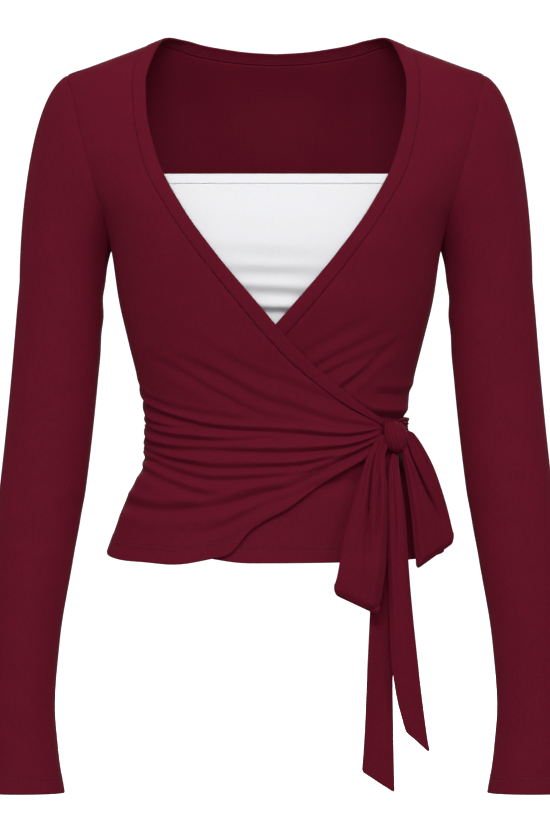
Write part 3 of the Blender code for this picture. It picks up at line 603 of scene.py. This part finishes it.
def front_places(table, last_turn, lines, parts):
    """The turns and drops on a front: a row for each line of its table, a column for each part."""
    station, *drops = [curve(range(len(table)), values)(lines) for values in zip(*table)]
    start = np.where(drops[0] < UNDERARM_DROP, np.radians(armhole_turn(drops[0])), 0.0)
    on_neck = np.minimum(station, NECK_STATIONS)
    seam_x, seam_drop = neck_tracks[2](on_neck), neck_tracks[3](on_neck)
    end = np.where(station > 0, turn_at(seam_x, seam_drop), 0.0)
    end += (radians(last_turn) - end) * ramp(station, NECK_STATIONS, NECK_STATIONS + 0.6)
    drops[-1] = np.where(station <= NECK_STATIONS, seam_drop, drops[-1])
    drop = np.stack([curve(FRONT_FRACTIONS, values)(parts) for values in zip(*drops)])
    return start[:, None] + (end - start)[:, None] * parts, drop


def steps(*stretches):
    """Rising numbers: each stretch is its first number, its last one and its count of steps."""
    runs = [np.linspace(low, high, count + 1)[:-1] for low, high, count in stretches]
    return np.concatenate(runs + [[stretches[-1][1]]])


LINES = steps((0, 6.5, 62), (6.5, 12.6, 150), (12.6, 13.3, 10), (13.3, 14, 44))
ACROSS = steps((0, 0.012, 4), (0.012, 0.97, 118), (0.97, 1, 8))


def rim_dip(parts):
    """How a piece turns in to the seams along its sides."""
    return -bell(parts, 0, 0.009, 0.0005) - bell(parts, 1, 0.009, 0.0005)


def hem_profile(grid):
    """How a turned and twice stitched hem moves the cloth out, by the distance from its edge."""
    step = np.linalg.norm(np.diff(grid, axis=0), axis=-1)
    away = np.concatenate((np.cumsum(step[::-1], axis=0)[::-1], np.zeros((1, grid.shape[1]))))
    out = 0.0004 * (1 - ramp(away, HEM_TURNED - 0.0015, HEM_TURNED + 0.001))
    for row in HEM_ROWS:
        out = out - bell(away, row, 0.0009, 0.0004)
    return out - 0.0005 * (1 - ramp(away, 0, 0.0012)), away


def hemmed(turn, drop, out, soft=1):
    """Points and normals of a panel with its hem, and each point's distance from the edge."""
    grid, normals = layer_at(turn, drop, out)
    hem, away = hem_profile(grid)
    return grid + (hem * soft)[..., None] * normals, normals, away


def outer_layer(turn, drop):
    """How far out the right front's middle lies: on the form above the wrap, then over it."""
    over_slit = bell(drop, SLIT_DROP, 0.028, 0.60)
    share = np.maximum(0.10 + 0.90 * ramp(turn, 0.0, 0.5), over_slit)
    return UNDER_LAYER + (OUTER_LAYER - UNDER_LAYER) * ramp(drop, *WRAP_DROPS) * share


def front_right(material):
    """The right front, which wraps over the left one and gathers into the knot."""
    turn, drop = front_places(RIGHT_FRONT, KNOT_TURN, LINES, ACROSS)
    hem_shift = bell(ACROSS, *RIGHT_HEM_SAG) - bell(ACROSS, *RIGHT_HEM_NIP)
    drop = drop + hem_shift * ramp(LINES, 13.2, 14)[:, None]
    at_slit = bell(drop, SLIT_DROP, 0.014) * (1 - ramp(turn, 0.05, 0.20))
    creases = (1 - 0.6 * at_slit) * folds(RIGHT_FOLDS, RIGHT_FOLD_TURNS, np.degrees(turn), drop)
    out = outer_layer(turn, drop) + creases + rim_dip(ACROSS)
    grid, normals, away = hemmed(turn, drop, out, 1 - ramp(turn, 1.7, 2.2))
    piece = shell("front_right", grid, normals, JERSEY_WALL, material, side=-1)
    return piece, hem_threads(grid, normals, away, ACROSS < 0.62)


def front_left(material):
    """The left front, which passes under the right one to the slit in the right side seam."""
    turn, drop = front_places(LEFT_FRONT, SLIT_TURN, LINES, ACROSS)
    under = drop - seam_drop_at(form(turn, drop)[..., 0])
    covered = np.maximum(ramp(turn, 1.2, 1.8), ramp(turn, 0.7, 1.0) * ramp(under, -0.004, 0.012))
    hidden = covered * ramp(drop, INSERT_HEM_DROP - 0.02, INSERT_HEM_DROP + 0.02)
    out = UNDER_LAYER - 0.0022 * hidden * (1 - ramp(drop, 0.385, 0.42)) + rim_dip(ACROSS)
    out = out + folds(LEFT_FOLDS, LEFT_FOLD_TURNS, np.degrees(turn), drop)
    grid, normals, away = hemmed(turn, drop, out)
    grid, normals = mirrored(grid), mirrored(normals)
    piece = shell("front_left", grid, normals, JERSEY_WALL, material, side=-1)
    return piece, hem_threads(grid, normals, away, ACROSS < 0.80)


def seam_drop_at(x):
    """The drop of the right neckline's seam at an x of the left front, which is mirrored."""
    seam_x, seam_drop = neck_tracks[2](np.linspace(4, 10, 60)), neck_tracks[3](np.linspace(4, 10, 60))
    return np.interp(-x, seam_x, seam_drop, left=0.0, right=seam_drop[-1])


def back_places(lines, parts):
    """The turns and drops on the right half of the back, from its side to the centre."""
    neck_part = 2 / 7
    side = side_drop(lines)[:, None]
    start = np.where(side < UNDERARM_DROP, np.radians(armhole_turn(side)), 0.0)
    turn, drop = start + (pi / 2 - start) * parts, side + 0 * parts
    reach = ramp(side, SHOULDER_END_DROP, 0.110)
    round_neck = np.clip((parts - neck_part) / (1 - neck_part), 0, 1)
    top_drop = np.where(parts < neck_part,
                        SHOULDER_END_DROP + (nape_seam(0) - SHOULDER_END_DROP) * parts / neck_part,
                        nape_seam(pi / 2 * round_neck))
    top_drop = top_drop + side - SHOULDER_END_DROP
    top_turn = start + (pi / 2 - start) * round_neck
    return -(top_turn + (turn - top_turn) * reach), top_drop + (drop - top_drop) * reach


def back(material):
    """The back, in one piece from side seam to side seam."""
    half = steps((0, 0.012, 3), (0.012, 2 / 7, 16), (2 / 7, 1, 40))
    turn, drop = back_places(LINES, half)
    turn = np.concatenate((turn, -pi - turn[:, -2::-1]), axis=1)
    drop = np.concatenate((drop, drop[:, -2::-1]), axis=1)
    parts = np.concatenate((half / 2, 1 - half[-2::-1] / 2))
    degrees = -np.degrees(turn)
    out = UNDER_LAYER + folds(BACK_FOLDS, BACK_FOLD_TURNS, degrees, drop) + rim_dip(parts)
    out += folds(RIGHT_FOLDS, RIGHT_FOLD_TURNS, -degrees, drop) * (degrees < 45)
    out += folds(LEFT_FOLDS, LEFT_FOLD_TURNS, degrees - 180, drop) * (degrees > 135)
    out -= bell(drop, *BACK_CINCH)
    grid, normals, away = hemmed(turn, drop, out)
    piece = shell("back", grid, normals, JERSEY_WALL, material, side=1)
    return piece, hem_threads(grid, normals, away, parts >= 0)


BAND_ACROSS = np.linspace(0, 1, 11)
BAND_SECTION = BAND_PLUMP * (1 - (2 * BAND_ACROSS - 1) ** 4) - BAND_SINK


def neckband(node, mirror, layer, material):
    """A folded binding between the neckline's seam and its free edge."""
    stations = steps((0, 0.2, 4), (0.2, NECK_STATIONS, 190))[:, None]
    edge_x, edge_drop, seam_x, seam_drop = [track(stations) for track in neck_tracks]
    width = np.maximum(abs(edge_x - seam_x), abs(edge_drop - seam_drop))
    share = BAND_ACROSS + (1 - BAND_ACROSS) * SEAM_GAP / width
    x = seam_x + (edge_x - seam_x) * share
    drop = seam_drop + (edge_drop - seam_drop) * share
    turn = np.where(stations > 0, turn_at(x, drop), 0.0)
    pull = np.sin(stations * 23 + 1.5 * np.sin(stations * 5)) * bell(BAND_ACROSS, 0.1, 0.16, 0.00022)
    grid, normals = layer_at(turn, drop, layer(turn, drop) + BAND_SECTION + pull)
    if mirror:
        grid, normals = mirrored(grid), mirrored(normals)
    return shell(node, grid, normals, BAND_WALL, material, side=-1)


def neckband_back(material):
    """The binding round the back of the neck, and its row of stitches."""
    turn = np.linspace(0, pi, 161)[:, None]
    share = BAND_ACROSS + (1 - BAND_ACROSS) * CLOSE_GAP / BACK_BAND_WIDTH
    low, high = nape_seam(turn), nape_edge(turn)
    drop = low + (high - low) * share
    grid, normals = layer_at(-turn + 0 * drop, drop, UNDER_LAYER + BAND_SECTION)
    piece = shell("neckband_back", grid, normals, BAND_WALL, material, side=1)
    inside = grid[:, 3] - normals[:, 3] * BAND_WALL / 2
    return piece, stitches(inside[5:-5], -normals[5:-5, 3])


def sleeve(node, mirror, material):
    """A sleeve from the armhole, round the cap and down to the cuff."""
    centre_x, half_x, half_y, centre_y = columns(SLEEVE)
    first_ring, last_ring = SLEEVE[0][0], SLEEVE[-1][0]
    count = 112
    angle = 2 * pi * np.arange(count) / count
    from_top = np.minimum(angle, 2 * pi - angle)
    drop = side_drop(4 * from_top / pi)
    turn = np.radians(armhole_turn(np.minimum(drop, UNDERARM_DROP))) * np.where(angle <= pi, 1, -1)
    level = (drop - SHOULDER_END_DROP) / (UNDERARM_DROP - SHOULDER_END_DROP)
    dip = np.radians(20 + 14 * level + 36 * level ** 4)
    set_out = np.stack((-np.cos(dip), 0 * dip, -np.sin(dip)), -1)
    start = form(turn, drop) + UNDER_LAYER * outward(turn, drop) - SEAM_TUCK * set_out
    end = np.stack((-centre_x(first_ring) - half_x(first_ring) * np.cos(angle),
                    centre_y(first_ring) - half_y(first_ring) * np.sin(angle), -first_ring + 0 * angle), -1)
    reach = np.linalg.norm(end - start, axis=-1)[:, None]
    leave, arrive = 0.55 * reach * set_out, 0.85 * reach * np.array((0, 0, -1))
    part = steps((0, 0.03, 4), (0.03, 1, 40))[:-1, None, None]
    cap = smooth_way(part, start, leave, end, arrive)
    low = steps((first_ring, last_ring - 0.024, 96), (last_ring - 0.024, last_ring, 34))[:, None]
    lower = np.stack(np.broadcast_arrays(-centre_x(low) - half_x(low) * np.cos(angle),
                                         centre_y(low) - half_y(low) * np.sin(angle), -low), -1)
    grid = np.concatenate((cap, lower))
    normals = grid_normals(grid, True)
    out = np.zeros(grid.shape[:2])
    degrees = np.degrees(angle)
    for at, around, tall, spread, depth, slope in SLEEVE_CREASES:
        off = (degrees - around + 180) % 360 - 180
        middle = at + slope * np.radians(off) * 0.04
        away = (-grid[..., 2] - middle) / tall
        out -= bell(off, 0, spread, depth) * trough(away, 0.4, 1.9, 0.9)
    out[:5] += np.array((-0.0013, -0.0010, -0.0005, -0.0002, 0))[:, None]
    grid = grid + out[..., None] * normals
    hem, away = hem_profile(grid)
    grid += hem[..., None] * normals
    if mirror:
        grid, normals = mirrored(grid), mirrored(normals)
    piece = shell(node, grid, normals, JERSEY_WALL, material, ring=True)
    return piece, hem_threads(grid, normals, away, degrees >= 0, closed=True)


def insert_top(turn):
    """The drop of the insert's upper edge, which falls away to the underarm."""
    from_side = np.minimum(turn, pi - turn)
    return INSERT_TOP_DROP + (UNDERARM_DROP + 0.004 - INSERT_TOP_DROP) * (1 - ramp(from_side, 0.0, 0.75))


def insert_part(node, upper, lower, rows, creases, material):
    """A strip of the insert between two edges, given by their drops along it."""
    turn = np.linspace(0.015, pi - 0.015, 150)
    share = np.linspace(0, 1, rows)[:, None]
    drop = upper(turn) + (lower(turn) - upper(turn)) * share
    turn = turn + 0 * drop
    inward = 0.45 + 0.55 * ramp(np.minimum(turn, pi - turn), 0.02, 0.15)
    recess = ramp(drop, *INSERT_RECESS_DROPS) * bell(turn, pi / 2, 0.6, INSERT_RECESS)
    out = inward * INSERT_LAYER - recess
    for at, depth, spread, middle, reach, slope in creases:
        off = turn - middle
        away = (drop - at - slope * off - 0.004 * np.sin(2.2 * off)) / spread
        out = out - bell(off, 0, reach, depth) * trough(away, 0.45, 1.8, 0.8)
    grid, normals = layer_at(turn, drop, out)
    return shell(node, grid, normals, INSERT_WALL, material, side=-1), grid, normals


def ribbon_rows(table, drop, lean, out, clearance, count):
    """Points across a ribbon at each drop: out is towards the front, lean bows its middle."""
    left_x, right_x, left_y, right_y = [track(drop)[:, None] for track in columns(table)]
    part = np.linspace(0, 1, count)
    x = left_x + (right_x - left_x) * part
    y = left_y + (right_y - left_y) * part
    level = np.minimum(drop, HEM_DROP)[:, None] + 0 * x
    over = np.abs(x) < half_width(level)
    near_knot = 1 - 0.6 * ramp(-drop, -(table[0][0] + 0.030), -table[0][0])[:, None]
    behind = form(turn_at(np.where(over, x, 0), level), level)[..., 1] - clearance * near_knot
    y = np.where(over, np.minimum(y, behind), y)
    y = y - lean * np.sin(pi * part) - np.asarray(out)[..., None]
    return np.stack((x, y, -drop[:, None] + 0 * x), -1)


def pleats(grid, drop, table, first, last):
    """Move a ribbon out and in along pleats, a row of the table for each."""
    part = np.linspace(0, 1, grid.shape[1])
    along = ramp(drop, first, last)[:, None]
    for top, foot, depth, spread, reach in table:
        middle = top + (foot - top) * along
        wide = spread * (0.7 + 0.6 * along)
        fade = bell((drop[:, None] - first) / reach, 0.5, 1)
        away = (part - middle) / wide
        grid[..., 1] += depth * fade * trough(away, 0.45, 1.9, 0.9)
    return grid


def round_corners(grid, ends, radius):
    """Lift the corners at the lower end of a ribbon, where ends is 1, on a soft arc."""
    width = np.linalg.norm(grid[:, -1] - grid[:, 0], axis=-1)[:, None]
    part = np.linspace(0, 1, grid.shape[1])
    into = np.clip(1 - np.minimum(part, 1 - part) * width / radius, 0, 1)
    grid[..., 2] += ends * radius * (1 - np.sqrt(1 - into ** 2))
    return grid


def tail(node, table, slant, clearance, creases, material):
    """A free end of the tie, cut at a slant."""
    first, last = table[0][0], table[-1][0]
    drop = np.linspace(first, last, 170)
    grid = ribbon_rows(table, drop, 0.0018, 0 * drop, clearance, 33)
    part = np.linspace(0, 1, 33)
    grid = pleats(grid, drop, creases, first, last)
    grid[..., 2] -= slant * ramp(drop, last - 0.08, last)[:, None] * part
    grid = round_corners(grid, ramp(drop, last - 0.012, last)[:, None], TAIL_CORNER)
    normals = grid_normals(grid, False)
    return shell(node, grid, normals, TIE_WALL, material)


def loop(node, table, depth, slant, clearance, creases, material):
    """A bow loop: down its back layer, round the fold at its end and up its front layer."""
    first, last = table[0][0], table[-1][0]
    levels = np.linspace(first, last, 100)
    turned = np.linspace(0, pi, 15)[1:-1]
    count = 41
    down = ribbon_rows(table, levels, 0.001, 0 * levels, clearance, count)
    down = pleats(down, levels, creases, first, last)
    fold = ribbon_rows(table, last + 0 * turned, 0.001, depth / 2 * (1 - np.cos(turned)), clearance, count)
    fold[..., 2] -= (depth / 2 * np.sin(turned))[:, None]
    near = LOOP_THROAT + (depth - LOOP_THROAT) * ramp(levels, first, first + 0.03)
    front = ribbon_rows(table, levels, 0.003, near, clearance, count)
    front = pleats(front, levels, creases, first, last)[::-1]
    grid = np.concatenate((down, fold, front))
    share = ramp(-grid[..., 2], last - 0.10, last)
    ends = ramp(-grid[..., 2], last - 0.012, last + depth / 2)
    grid[..., 2] += slant * share * (1 - 2 * np.linspace(0, 1, count)) / 2
    grid = round_corners(grid, ends, LOOP_CORNER)
    return shell(node, grid, grid_normals(grid, False), TIE_WALL, material)


def tie_back(material):
    """The tie from the slit in the right side seam, round the back, to the knot."""
    drop_at, half_at, out_at = columns(TIE_BACK)
    turn = np.linspace(TIE_BACK[0][0], TIE_BACK[-1][0], 190)
    across = np.linspace(-1, 1, 41)[:, None]
    wave = np.radians(turn)
    out = out_at(turn) + 0 * across
    gathered = 1 - bell(turn, 90, 55, 0.7)
    for place, depth, spread, swing in TIE_BACK_CREASES:
        away = (across - place - swing * np.sin(1.3 * wave + 4 * place)) / spread
        out = out - depth * gathered * ramp(turn, -1, 6) * (bell(away, 0, 1) - 0.15)
    drop = drop_at(turn) + half_at(turn) * across
    grid, normals = layer_at(np.radians(-turn) + 0 * across, drop, out)
    return shell("tie_back", grid, normals, TIE_WALL, material)


def knot(material):
    """The knot: the tie wrapped over itself from top to bottom, creased along the wrap."""
    sides, rings = 96, 60
    place = np.linspace(0.04, 0.96, rings)[:, None] * pi
    angle = 2 * pi * np.arange(sides) / sides
    half_across, half_deep, half_up = KNOT_HALF
    swell = np.sin(place) ** 0.55
    twist = place + 0.22 * np.sin(angle + 0.5)
    for at, depth, spread in KNOT_CREASES:
        away = (twist - at) / spread
        swell = swell - depth * trough(away, 0.3, 2.0, 0.9)
    x = -half_across * np.cos(place) - 0.0022 * np.sin(angle - 0.2) * np.sin(place)
    points = np.stack(np.broadcast_arrays(x, -half_deep * swell * np.cos(angle),
                                          half_up * swell * np.sin(angle)), -1) + np.array(KNOT_CENTRE)
    faces = ring_faces(rings, sides)
    faces += [tuple(range(sides))[::-1], tuple(range(sides * (rings - 1), sides * rings))]
    return add_mesh("tie_knot_cloth", points, faces, material, "tie_knot")


# Stitches.

def along(at, run, points):
    """Where a path is when its run reaches the given lengths."""
    return np.stack([np.interp(at, run, points[:, k]) for k in range(3)], -1)


def stitches(path, normals, pitch=0.0026, length=0.0018, thick=0.00058):
    """Points and faces of a row of short stitches along a path on the cloth."""
    run = np.concatenate(([0], np.cumsum(np.linalg.norm(np.diff(path, axis=0), axis=-1))))
    at = np.arange(pitch, run[-1] - pitch, pitch)
    middle = along(at, run, path)
    up = unit(along(at, run, normals))
    ahead = unit(along(at + pitch / 2, run, path) - along(at - pitch / 2, run, path))
    beside = np.cross(up, ahead)
    corners = [middle - ahead * length / 2 - up * thick * 0.3, middle + ahead * length / 2 - up * thick * 0.3]
    for near in (-0.22, 0.22):
        for side, lift in ((1, 0.1), (0, 0.75), (-1, 0.1)):
            corners.append(middle + ahead * length * near + beside * thick * 0.5 * side + up * thick * lift)
    points = np.stack(corners, 1)
    block = ((0, 2, 3), (0, 3, 4), (2, 5, 6, 3), (3, 6, 7, 4), (1, 6, 5), (1, 7, 6), (0, 4, 2), (1, 5, 7),
             (2, 4, 7, 5))
    faces = [tuple(8 * i + corner for corner in face) for i in range(len(at)) for face in block]
    return points.reshape(-1, 3), faces


def hem_threads(grid, normals, away, columns_used, closed=False):
    """The two rows of stitches above a hem, on the outside."""
    rows = []
    for height in HEM_ROWS:
        path, up = [], []
        for j in np.flatnonzero(columns_used):
            path.append(along(height, away[::-1, j], grid[::-1, j]))
            up.append(along(height, away[::-1, j], normals[::-1, j]))
        if closed:
            path, up = path + path[:1], up + up[:1]
        path, up = np.array(path), np.array(up)
        rows.append(stitches(path + up * JERSEY_WALL / 2, up))
    return rows


def thread_piece(name, rows, material):
    """All the stitches of a seam as one piece."""
    points, faces, count = [], [], 0
    for row_points, row_faces in rows:
        points.append(row_points)
        faces += [tuple(corner + count for corner in face) for face in row_faces]
        count += len(row_points)
    return add_mesh(name, np.concatenate(points), faces, material)


# Finishes.

class Finish:
    """A cloth material under construction: its node tree and its shader."""

    def __init__(self, name, colour, roughness, sheen, sheen_tint):
        self.material = bpy.data.materials.new(name)
        self.material.use_nodes = True
        self.tree = self.material.node_tree
        self.shader = self.tree.nodes["Principled BSDF"]
        self.colour = colour
        self.set("Base Color", (*colour, 1))
        self.set("Roughness", roughness)
        self.set("Specular IOR Level", 0.05)
        self.set("Diffuse Roughness", 0.4)
        self.set("Sheen Weight", sheen)
        self.set("Sheen Roughness", 0.55)
        self.set("Sheen Tint", (*sheen_tint, 1))
        self.place = self.tree.nodes.new("ShaderNodeTexCoord").outputs["Object"]

    def set(self, socket, value):
        self.shader.inputs[socket].default_value = value

    def join(self, out, socket):
        self.tree.links.new(out, socket)

    def noise(self, scale, detail, stretch=(1, 1, 1)):
        """A noise of about scale cells a metre, stretched along the axes."""
        place = self.tree.nodes.new("ShaderNodeMapping")
        place.inputs["Scale"].default_value = stretch
        self.join(self.place, place.inputs["Vector"])
        noise = self.tree.nodes.new("ShaderNodeTexNoise")
        noise.inputs["Scale"].default_value = scale
        noise.inputs["Detail"].default_value = detail
        self.join(place.outputs["Vector"], noise.inputs["Vector"])
        return noise.outputs["Fac"]

    def spread(self, value, low, high):
        """Spread the middle of a noise over low to high."""
        spread = self.tree.nodes.new("ShaderNodeMapRange")
        for socket, number in zip(("From Min", "From Max", "To Min", "To Max"), (0.3, 0.7, low, high)):
            spread.inputs[socket].default_value = number
        self.join(value, spread.inputs["Value"])
        return spread.outputs["Result"]

    def tint(self, value):
        """Multiply the colour by a value, over what is there already."""
        tone = self.tree.nodes.new("ShaderNodeVectorMath")
        tone.operation = "SCALE"
        socket = self.shader.inputs["Base Color"]
        if socket.is_linked:
            self.join(socket.links[0].from_socket, tone.inputs[0])
        else:
            tone.inputs[0].default_value = self.colour
        self.join(value, tone.inputs["Scale"])
        self.join(tone.outputs["Vector"], socket)

    def bump(self, height, distance, strength=1.0):
        """Raise the surface by a height of up to distance metres, over what is there already."""
        bump = self.tree.nodes.new("ShaderNodeBump")
        bump.inputs["Distance"].default_value = distance
        bump.inputs["Strength"].default_value = strength
        self.join(height, bump.inputs["Height"])
        socket = self.shader.inputs["Normal"]
        if socket.is_linked:
            self.join(socket.links[0].from_socket, bump.inputs["Normal"])
        self.join(bump.outputs["Normal"], socket)


def knit(name, colour, wales=(1.0, 1.0, 0.3), sheen=0.05, sheen_tint=(1.0, 0.12, 0.22), mottle=1.0):
    """Fine stretch jersey: wales of knit, a slight slub, and soft uneven dye."""
    roughness = 0.85
    finish = Finish(name, colour, roughness, sheen, sheen_tint)
    finish.tint(finish.spread(finish.noise(34, 3), 1 - 0.035 * mottle, 1 + 0.035 * mottle))
    finish.tint(finish.spread(finish.noise(900, 2, wales), 1 - 0.10 * mottle, 1 + 0.10 * mottle))
    finish.bump(finish.noise(1500, 2, wales), 0.00010)
    finish.bump(finish.noise(210, 3, (1.0, 1.0, 0.7)), 0.00012)
    finish.join(finish.spread(finish.noise(120, 2), roughness - 0.05, roughness + 0.05),
                finish.shader.inputs["Roughness"])
    return finish.material


def thread(name, colour):
    """Polyester sewing thread, a little glossier than the cloth."""
    finish = Finish(name, colour, 0.55, 0.1, (1, 0.7, 0.7))
    finish.tint(finish.spread(finish.noise(2600, 1), 0.85, 1.15))
    finish.bump(finish.noise(3200, 1, (1, 1, 0.4)), 0.00008)
    return finish.material


def paper_white(name):
    """The studio's seamless paper."""
    finish = Finish(name, (0.90, 0.90, 0.90), 0.9, 0.0, (1, 1, 1))
    finish.set("Emission Color", (1, 1, 1, 1))
    finish.set("Emission Strength", PAPER_GLOW)
    finish.tint(finish.spread(finish.noise(3, 2), 0.995, 1.005))
    return finish.material


# The studio.

def paper_sweep(material):
    """A round floor that curves up into a wall all round."""
    bend = np.linspace(0, pi / 2, 16)
    profile = [(FLOOR_RADIUS, 0.0)]
    profile += [(BEND_START + BEND_RADIUS * np.sin(a), BEND_RADIUS * (1 - np.cos(a))) for a in bend]
    profile += [(BEND_START + BEND_RADIUS, WALL_HEIGHT)]
    sides = 64
    round_it = 2 * pi * np.arange(sides) / sides
    points = [(r * np.cos(a), r * np.sin(a), FLOOR_HEIGHT + z) for r, z in profile for a in round_it]
    faces = ring_faces(len(profile), sides) + [tuple(range(sides))[::-1]]
    sweep = smooth_mesh("paper_sweep", points, faces, material)
    sweep.visible_diffuse = False
    sweep.visible_glossy = False


def soft_box(name, position, target, size, watts):
    """A soft, white, rectangular light that faces a target."""
    lamp = bpy.data.lights.new(name, "AREA")
    lamp.shape = "RECTANGLE"
    lamp.size, lamp.size_y = size
    lamp.energy = watts
    holder = add_object(name, lamp)
    holder.location = position
    aim = Vector(target) - Vector(position)
    holder.rotation_euler = aim.to_track_quat("-Z", "Y").to_euler()


def studio():
    """Soft light from all round, with its key above the front."""
    world = bpy.data.worlds.new("studio")
    world.use_nodes = True
    sky = world.node_tree.nodes["Background"]
    sky.inputs["Color"].default_value = (1, 1, 1, 1)
    sky.inputs["Strength"].default_value = WORLD_LIGHT
    bpy.context.scene.world = world
    for light in LIGHTS:
        soft_box(*light)
    scene = bpy.context.scene
    scene.view_settings.view_transform = "Standard"
    scene.view_settings.look = "None"
    scene.view_settings.exposure = 0
    scene.view_settings.gamma = 1


def camera():
    """A long lens, level with the waist, straight in front."""
    lens = bpy.data.cameras.new("camera")
    lens.sensor_width = 36
    lens.lens = 36 * CAMERA_DISTANCE / FRAME_HEIGHT
    lens.clip_end = 50
    holder = add_object("camera", lens)
    holder.location = (CAMERA_CENTRE[0], -CAMERA_DISTANCE, CAMERA_CENTRE[1])
    holder.rotation_euler = (pi / 2, 0, 0)
    bpy.context.scene.camera = holder


def make_garment():
    """Every piece and its stitches."""
    wine = knit("wine_jersey", WINE)
    wine_sleeve = knit("wine_jersey_sleeve", WINE)
    binding = knit("wine_binding", BINDING_WINE)
    ribbon = knit("wine_tie", TIE_WINE, wales=(0.3, 1.0, 1.0))
    white = knit("white_jersey", WHITE, sheen=0.02, sheen_tint=(1, 1, 1), mottle=0.12)
    # The wine thread's darker colour carries painted shade of the stitch grooves.
    wine_thread_and_shade = thread("wine_thread_and_shade", WINE_THREAD_AND_SHADE)
    white_thread = thread("white_thread", WHITE_THREAD)

    right, right_rows = front_right(wine)
    left, left_rows = front_left(wine)
    behind, back_rows = back(wine)
    thread_piece("hem_stitches", right_rows + left_rows + back_rows, wine_thread_and_shade)
    sleeve_r, cuff_r = sleeve("sleeve_right", False, wine_sleeve)
    sleeve_l, cuff_l = sleeve("sleeve_left", True, wine_sleeve)
    thread_piece("cuff_stitches", cuff_r + cuff_l, wine_thread_and_shade)
    band_r = neckband("neckband_right", False, outer_layer, binding)
    band_l = neckband("neckband_left", True, lambda turn, drop: UNDER_LAYER + 0 * drop, binding)
    band_b, neck_row = neckband_back(binding)
    thread_piece("neck_stitches", [neck_row], wine_thread_and_shade)

    def band_foot(turn):
        return insert_top(turn) + INSERT_BAND

    def panel_top(turn):
        return band_foot(turn) + SEAM_GAP

    def panel_foot(turn):
        return INSERT_HEM_DROP + 0 * turn

    panel, _, _ = insert_part("insert_panel", panel_top, panel_foot, 120, INSERT_CREASES, white)
    band, band_grid, band_normals = insert_part("insert_band", insert_top, band_foot, 14, (), white)
    seam = band_grid[-2] + band_normals[-2] * INSERT_WALL / 2
    band_row = stitches(seam[20:-20], band_normals[-2][20:-20])
    thread_piece("insert_stitches", [band_row], white_thread)

    knot(ribbon)
    inner = loop("tie_loop_inner", LOOP_INNER, 0.011, 0.018, 0.0105, LOOP_INNER_PLEATS, ribbon)
    outer = loop("tie_loop_outer", LOOP_OUTER, 0.010, -0.022, 0.0070, LOOP_OUTER_PLEATS, ribbon)
    long_end = tail("tie_tail_long", TAIL_LONG, 0.018, 0.0060, TAIL_LONG_PLEATS, ribbon)
    short_end = tail("tie_tail_short", TAIL_SHORT, 0.018, 0.0090, TAIL_SHORT_PLEATS, ribbon)
    strap = tie_back(ribbon)


make_garment()
paper_sweep(paper_white("studio_paper"))
studio()
camera()
